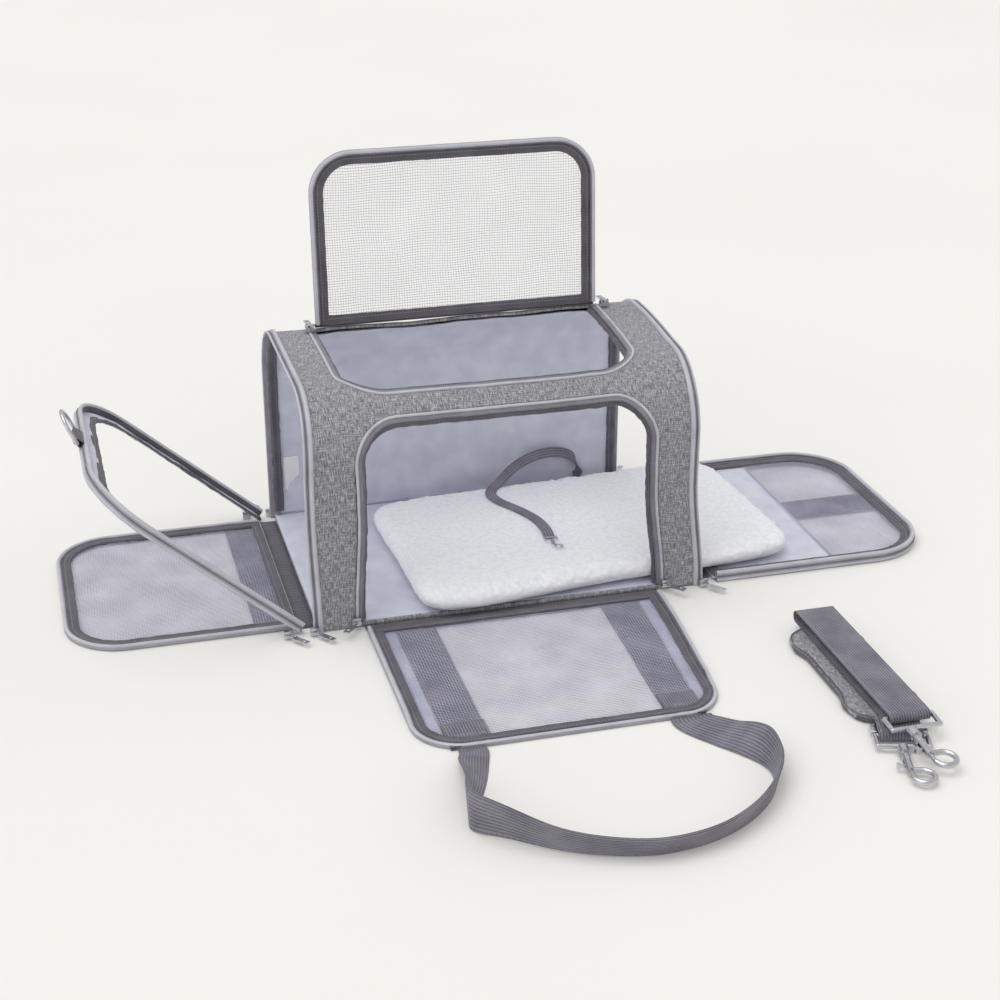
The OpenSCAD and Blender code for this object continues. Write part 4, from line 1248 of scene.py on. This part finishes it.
# %% Right panel
RIGHT_NET_Z, BAND_L, RIGHT_RING_L = 4.2, 142.0, 214.0
settle(netting("right_netting", RIGHT, END_W - 12, END_L - 7, 60, RIGHT_NET_Z + 0.6, BAND_L - 4,
               END_L - 7), "right_panel", "netting", "right_mesh")
path = on_plane(u_outline(END_W, END_L, END_R), RIGHT)
shell = [(0, 0.5), (-0.6, 0), (-4.4, 0), (-4.9, 0.6), (-4.9, END_H - 2.4), (-4.3, END_H - 1.5),
         (-0.7, END_H - 1.5), (0, END_H - 2.2)]
for piece in (sweep("right_panel_tape", path, shell, TAPE, 0.25, 12.0),
              sweep("right_panel_outer_bead", path, round_section(-1.2, 2.0, 2.0), BEAD, 0.15),
              sweep("right_panel_top_bead", path, round_section(-1.4, END_H - 2.0, 2.0), BEAD,
                    0.15, 5.0),
              sweep("right_panel_outer_coil", path, round_section(0.1, END_H / 2, 0.9, 6), COIL,
                    0.2, 3.0),
              sweep("right_panel_coil", path, round_section(-4.7, END_H - 2.4, 0.9, 6), COIL,
                    0.2, 3.0)):
    settle(piece, "right_panel", "piping", "right_panel_gusset")
settle(sweep("right_panel_ring_binding", path,
             flat_section(-14.8, -4.9, RIGHT_NET_Z + 0.2, RIGHT_NET_Z + 2.8, 4, 0.5), BINDING,
             0.6, 7.0), "right_panel", "binding", "right_panel_binding")
settle(hinge_binding("right_hinge_binding", RIGHT, END_W, RIGHT_NET_Z + 1.3), "right_panel",
       "binding", "right_panel_binding")


def band_place(u, v):
    x, y = (u - 0.5) * (END_W - 12), 1 + (BAND_L - 1) * v
    here = Vector((x / 30, y / 24, 6.1))
    rise = 1.1 * noise.noise(here) + 0.6 * noise.noise(here * 2.6)
    edge = min(1.0, 10 * u * (1 - u), 10 * v * (1 - v))
    return RIGHT @ Vector((x, y, 2.6 + edge * (0.9 + rise)))


settle(lay("right_satin_band", 60, 34, band_place, (0.268, 0.141), SATIN, thick=2.2),
       "right_panel", "lining", "right_panel_lining")
settle(flap_strip("right_strap", RIGHT, -WEB_W / 2, WEB_W / 2, BAND_L, END_L - 10,
                  RIGHT_NET_Z - 0.45, RIGHT_NET_Z + 0.15, WEBBING), "right_panel", "webbing",
       "right_panel_webbing")
settle(tab("right_tab", RIGHT, (RIGHT_RING_L, 2.0), 2.05, 8, 9, 29, 0.8, low_end=0.5),
       "right_panel", "binding", "right_panel_webbing")
print("end panels done")

# %% [markdown]
# Two straps of webbing climb the rear wall, and the rear handle hangs from them. Its
# middle is folded narrower for the hand. The path runs down one side and up the other.

# %% Rear webbing and handle
for side in (-1, 1):
    label = "left" if side < 0 else "right"
    path = [(Vector((side * WEB_X, WIDTH / 2, 3 + SHOULDER_Z * i / 40)), Vector((1, 0, 0)),
             Vector((0, 1, 0))) for i in range(41)]
    section = flat_section(-WEB_W / 2, WEB_W / 2, 0.5, 1.9, 8, 0.25)
    settle(sweep(f"rear_{label}_webbing", path, section, WEBBING, 0.1, 12.0), "cabin", "webbing",
           "rear_webbing")
GRIP = Matrix(((1, 0, 0, 0), (0, 0, 1, WIDTH / 2 + 2.4), (0, -1, 0, SHOULDER_Z + 16),
               (0, 0, 0, 1)))
path = []
for (x, y), (ox, oy) in u_outline(2 * WEB_X, 164, 44, 1.0, 5.0):
    narrow = 1.0 - 0.4 * max(0.0, min(1.0, (y - 118) / 40))
    path.append((GRIP @ Vector((x, y, 0)), Vector((ox, 0, -oy)) * narrow, Vector((0, 1, 0))))
section = flat_section(-WEB_W / 2, WEB_W / 2, 0.3, 2.7, 10, 0.3)
settle(sweep("rear_handle_webbing", path, section, WEBBING, 0.15, 14.0), "rear_handle",
       "webbing", "rear_handle")

# %% [markdown]
# The fleece pad is a soft slab with a crowned top and pulled-in edges. It is inflated by
# a short cloth simulation with a little pressure, and how far a place may move is
# capped, so that it still fits between its neighbours. Its near left corner is then drawn
# out over the sill. The tufts come last, as small moves of each place on a finer grid.

# %% Soft pads


def puff(piece, voxel, pressure, cap, frames=16):
    """Remeshes a closed form, swells it by cloth pressure, and caps each point's move."""
    bpy.context.view_layer.objects.active = piece
    shell = piece.modifiers.new("remesh", "REMESH")
    shell.mode = "VOXEL"
    shell.voxel_size = voxel * MM
    apply_modifiers(piece)
    start = [v.co.copy() for v in piece.data.vertices]
    soft = piece.modifiers.new("cloth", "CLOTH")
    soft.settings.quality = 5
    soft.settings.mass = 0.2
    soft.settings.use_pressure = True
    soft.settings.uniform_pressure_force = pressure
    soft.settings.effector_weights.gravity = 0
    soft.point_cache.frame_start = 1
    soft.point_cache.frame_end = frames
    for step in range(1, frames + 1):
        scene.frame_set(step)
    apply_modifiers(piece)
    scene.frame_set(1)
    moved = 0.0
    for vert, old in zip(piece.data.vertices, start):
        move = vert.co - old
        if move.length > cap * MM:
            vert.co = old + move.normalized() * cap * MM
        moved = max(moved, (vert.co - old).length)
    print(f"{piece.name} swelled by up to {moved * 1000:.1f} mm")


def apply_modifiers(piece):
    graph = bpy.context.evaluated_depsgraph_get()
    made = bpy.data.meshes.new_from_object(piece.evaluated_get(graph), depsgraph=graph)
    old = piece.data
    piece.modifiers.clear()
    piece.data = made
    made.name = piece.name
    bpy.data.meshes.remove(old)


def refine(piece, levels):
    """Subdivides a swollen pad once it has its shape."""
    finer = piece.modifiers.new("finer", "SUBSURF")
    finer.levels = finer.render_levels = levels
    apply_modifiers(piece)


def dress(piece, made):
    """Gives a pad smooth faces and one cloth."""
    for face in piece.data.polygons:
        face.use_smooth = True
    piece.data.materials.clear()
    piece.data.materials.append(made)


PAD_PLACE = Matrix.Translation((107.0, -11.5, 7.4)) @ spin_about("Z", 3.5)
PAD_L, PAD_W, PAD_H, PAD_R = 420.0, 248.0, 22.0, 26.0


def slab(name, l, w, h, r, waist=None):
    """A closed slab with round corners and soft edges, from a grid that is extruded up."""
    bm = bmesh.new()
    bmesh.ops.create_grid(bm, x_segments=round(l / 7), y_segments=round(w / 7), size=0.5)
    for vert in bm.verts:
        x, y = vert.co.x * 2, vert.co.y * 2
        pull = 1 - 0.5 * (r / (l / 2)) * (abs(x) * abs(y)) ** 6
        side = 1 - 0.5 * (r / (w / 2)) * (abs(x) * abs(y)) ** 6
        pinch = waist(x * l / 2) if waist else 1.0
        vert.co = Vector((x * l / 2 * pull, y * w / 2 * side * pinch, 0)) * MM
    body = bmesh.ops.extrude_face_region(bm, geom=bm.faces[:])
    top = [g for g in body["geom"] if isinstance(g, bmesh.types.BMVert)]
    bmesh.ops.translate(bm, verts=top, vec=(0, 0, h * MM))
    bmesh.ops.recalc_face_normals(bm, faces=bm.faces)
    return finished(name, bm, FLEECE, 0.9)


def tuft(piece, place, low, high, size, depth, seed, span):
    """Raises small tufts on the upper side and keeps the whole inside its own height."""
    for vert in piece.data.vertices:
        x, y, z = vert.co / MM
        rise = max(0.0, min(1.0, (z - low) / (high - low)))
        here = Vector((x / size, y / size, z / size + seed))
        move = depth * (noise.noise(here) + 0.6 * noise.noise(here * 2.1))
        edge = min(1.0, (span[0] - abs(x)) / 26, (span[1] - abs(y)) / 26)
        z += rise * (move - 2.0 * (1 - max(0.0, edge)) ** 2)
        x += 0.5 * move * (1 - max(0.0, edge))
        vert.co = place @ Vector((x, y, min(max(z, 0.2), high + 1.5))) * MM


pad = slab("fleece", PAD_L - 3, PAD_W - 3, PAD_H - 4, PAD_R)
pad.data.transform(Matrix.Translation((0, 0, 1.2 * MM)))
puff(pad, 7.0, 3.0, 4.0)
refine(pad, 2)
for vert in pad.data.vertices:
    x, y = vert.co.x / MM, vert.co.y / MM
    near_sill = ease(-y / 110)
    near_corner = ease((-x + 20) / 190) * near_sill
    vert.co.y -= (11 * near_corner + 3 * near_sill) * MM
    vert.co.x -= 4 * near_corner * MM
tuft(pad, PAD_PLACE, 3.0, PAD_H - 2, 8.0, 2.0, 2.0, (PAD_L / 2, PAD_W / 2))
dress(pad, FLEECE)
settle(pad, "pad", "fleece", "fleece_pad")
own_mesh(pad)
print("pad faces:", len(pad.data.polygons))

# %% [markdown]
# The shoulder strap lies at the right in front of the bag. Its pad is waisted and filled,
# with a dark edge, and the long webbing is folded in three on top of it.

# %% Shoulder strap
STRAP_X, STRAP_Y, STRAP_H = 272.0, -356.0, 8.0
STRAP_L = 184.0


def strap_waist(x):
    """Width of the pad along its length, as a share of 76 mm."""
    a = abs(x)
    if a < 36:
        return 64 / 76
    if a < 54:
        return (64 + 12 * (a - 36) / 18) / 76
    return 1.0 if a < 74 else 1.0 - 0.45 * ((a - 74) / 18) ** 2


strap_place = Matrix.Translation((STRAP_X, STRAP_Y, 0)) @ spin_about("Z", 90)
strap_pad = slab("strap_pad_cloth", STRAP_L - 2, 74, STRAP_H - 2.4, 10, strap_waist)
strap_pad.data.transform(Matrix.Translation((0, 0, 0.9 * MM)))
puff(strap_pad, 3.0, 3.0, 1.2)
refine(strap_pad, 1)
for vert in strap_pad.data.vertices:
    vert.co.z = min(max(vert.co.z, 0.1 * MM), STRAP_H * MM)
strap_pad.data.transform(Matrix.Scale(1 / MM, 4))
strap_pad.data.transform(strap_place)
strap_pad.data.transform(Matrix.Scale(MM, 4))
strap_uv = strap_pad.data.uv_layers.get("UVMap") or strap_pad.data.uv_layers.new(name="UVMap")
for loop in strap_pad.data.loops:
    spot = strap_pad.data.vertices[loop.vertex_index].co
    strap_uv.data[loop.index].uv = (spot.x, spot.y)
dress(strap_pad, HEATHER)
settle(strap_pad, "shoulder_strap", "heather", "strap_pad")
RIM_COUNT = 96
rim = []
for i in range(RIM_COUNT):
    a = 2 * math.pi * i / RIM_COUNT
    x = STRAP_L / 2 * math.copysign(abs(math.cos(a)) ** 0.55, math.cos(a))
    y = 38 * math.copysign(abs(math.sin(a)) ** 0.45, math.sin(a)) * strap_waist(x)
    rim.append(Vector((x, y, 3.6)))
path = []
for i, spot in enumerate(rim):
    ahead = (rim[(i + 1) % RIM_COUNT] - rim[i - 1]).normalized()
    out = ahead.cross(Vector((0, 0, 1)))
    turn = strap_place.to_3x3()
    path.append((strap_place @ spot, turn @ out, Vector((0, 0, 1))))
settle(sweep("strap_pad_edge", path, flat_section(-4.6, 0, -2.6, 3.0, 3, 0.9), BINDING, 0.3, 7.0,
             closed=True), "shoulder_strap", "binding")

RUNS = (STRAP_H + 0.3 + 0.8, STRAP_H + 2.4 + 0.8, STRAP_H + 11 + 0.8)
REAR_FOLD, FRONT_FOLD, UPPER_X, LOWER_X = -258.0, -460.0, 275.0, 262.0


def fold_spots(y, z0, z1, way):
    """Places round a fold from the lower height to the upper one."""
    r = (z1 - z0) / 2
    return [(y + way * r * math.sin(math.pi * k / 10), z0 + r - r * math.cos(math.pi * k / 10))
            for k in range(11)]


def yz_strap(name, x, spots, turn=None):
    """Sweeps webbing along places in y and z, at one x."""
    path = []
    for i, (y, z) in enumerate(spots):
        before, after = spots[max(i - 1, 0)], spots[min(i + 1, len(spots) - 1)]
        dy, dz = after[0] - before[0], after[1] - before[1]
        size = math.hypot(dy, dz)
        spot = Vector((x, y, z))
        across, up = Vector((1, 0, 0)), Vector((0, -dz / size, dy / size))
        if turn:
            spot = turn @ Vector((0, y, z))
            across, up = turn.to_3x3() @ across, turn.to_3x3() @ up
        path.append((spot, across, up))
    section = flat_section(-WEB_W / 2, WEB_W / 2, -0.75, 0.75, 10, 0.25)
    return sweep(name, path, section, WEBBING)


def run_spots(y0, y1, z, count=24):
    return [(y0 + (y1 - y0) * i / count, z) for i in range(count + 1)]


spots = run_spots(FRONT_FOLD + 12, REAR_FOLD, RUNS[0])[:-1]
spots += fold_spots(REAR_FOLD, RUNS[0], RUNS[2], 1)
spots += run_spots(REAR_FOLD, FRONT_FOLD, RUNS[2])[1:-1]
spots += list(reversed(fold_spots(FRONT_FOLD, RUNS[1], RUNS[2], -1)))
spots += run_spots(FRONT_FOLD, FRONT_FOLD + 180, RUNS[1])[1:]
settle(yz_strap("strap_folds", UPPER_X, spots), "shoulder_strap", "webbing", "strap_webbing")
LEFT_BAR = Matrix.Translation((LOWER_X, -474.0, 5.4)) @ spin_about("Z", -16)
spots = [(28, 3.7), (14, 3.6), (0, 3.5)]
spots += [(-3.5 * math.sin(math.pi * k / 10), 3.5 * math.cos(math.pi * k / 10))
          for k in range(1, 10)]
spots += [(0, -3.5), (10, -3.5), (20, -3.5)]
settle(yz_strap("strap_end", 0, spots, LEFT_BAR), "shoulder_strap", "webbing", "strap_webbing")
print("strap done")

# %% [markdown]
# The floor is a large plain sheet just under the bag. It is only a stage.

# %% Floor


def floor_material():
    made, tree, shader, coords = blank_material("studio_floor", 0.9)
    worn = group_node(tree, WEAR, Vector=coords.outputs["Object"], Size=1.2)
    tree.links.new(tones(tree, worn.outputs["Mask"], linear(243, 242, 238), linear(246, 245, 241)),
                   shader.inputs["Base Color"])
    return made


bm = bmesh.new()
FLOOR_REACH, FLOOR_DROP = 12, 0.0006
bmesh.ops.create_grid(bm, x_segments=1, y_segments=1, size=FLOOR_REACH)
bmesh.ops.translate(bm, verts=bm.verts, vec=(0, 0, -FLOOR_DROP))
floor = finished("floor", bm, floor_material())
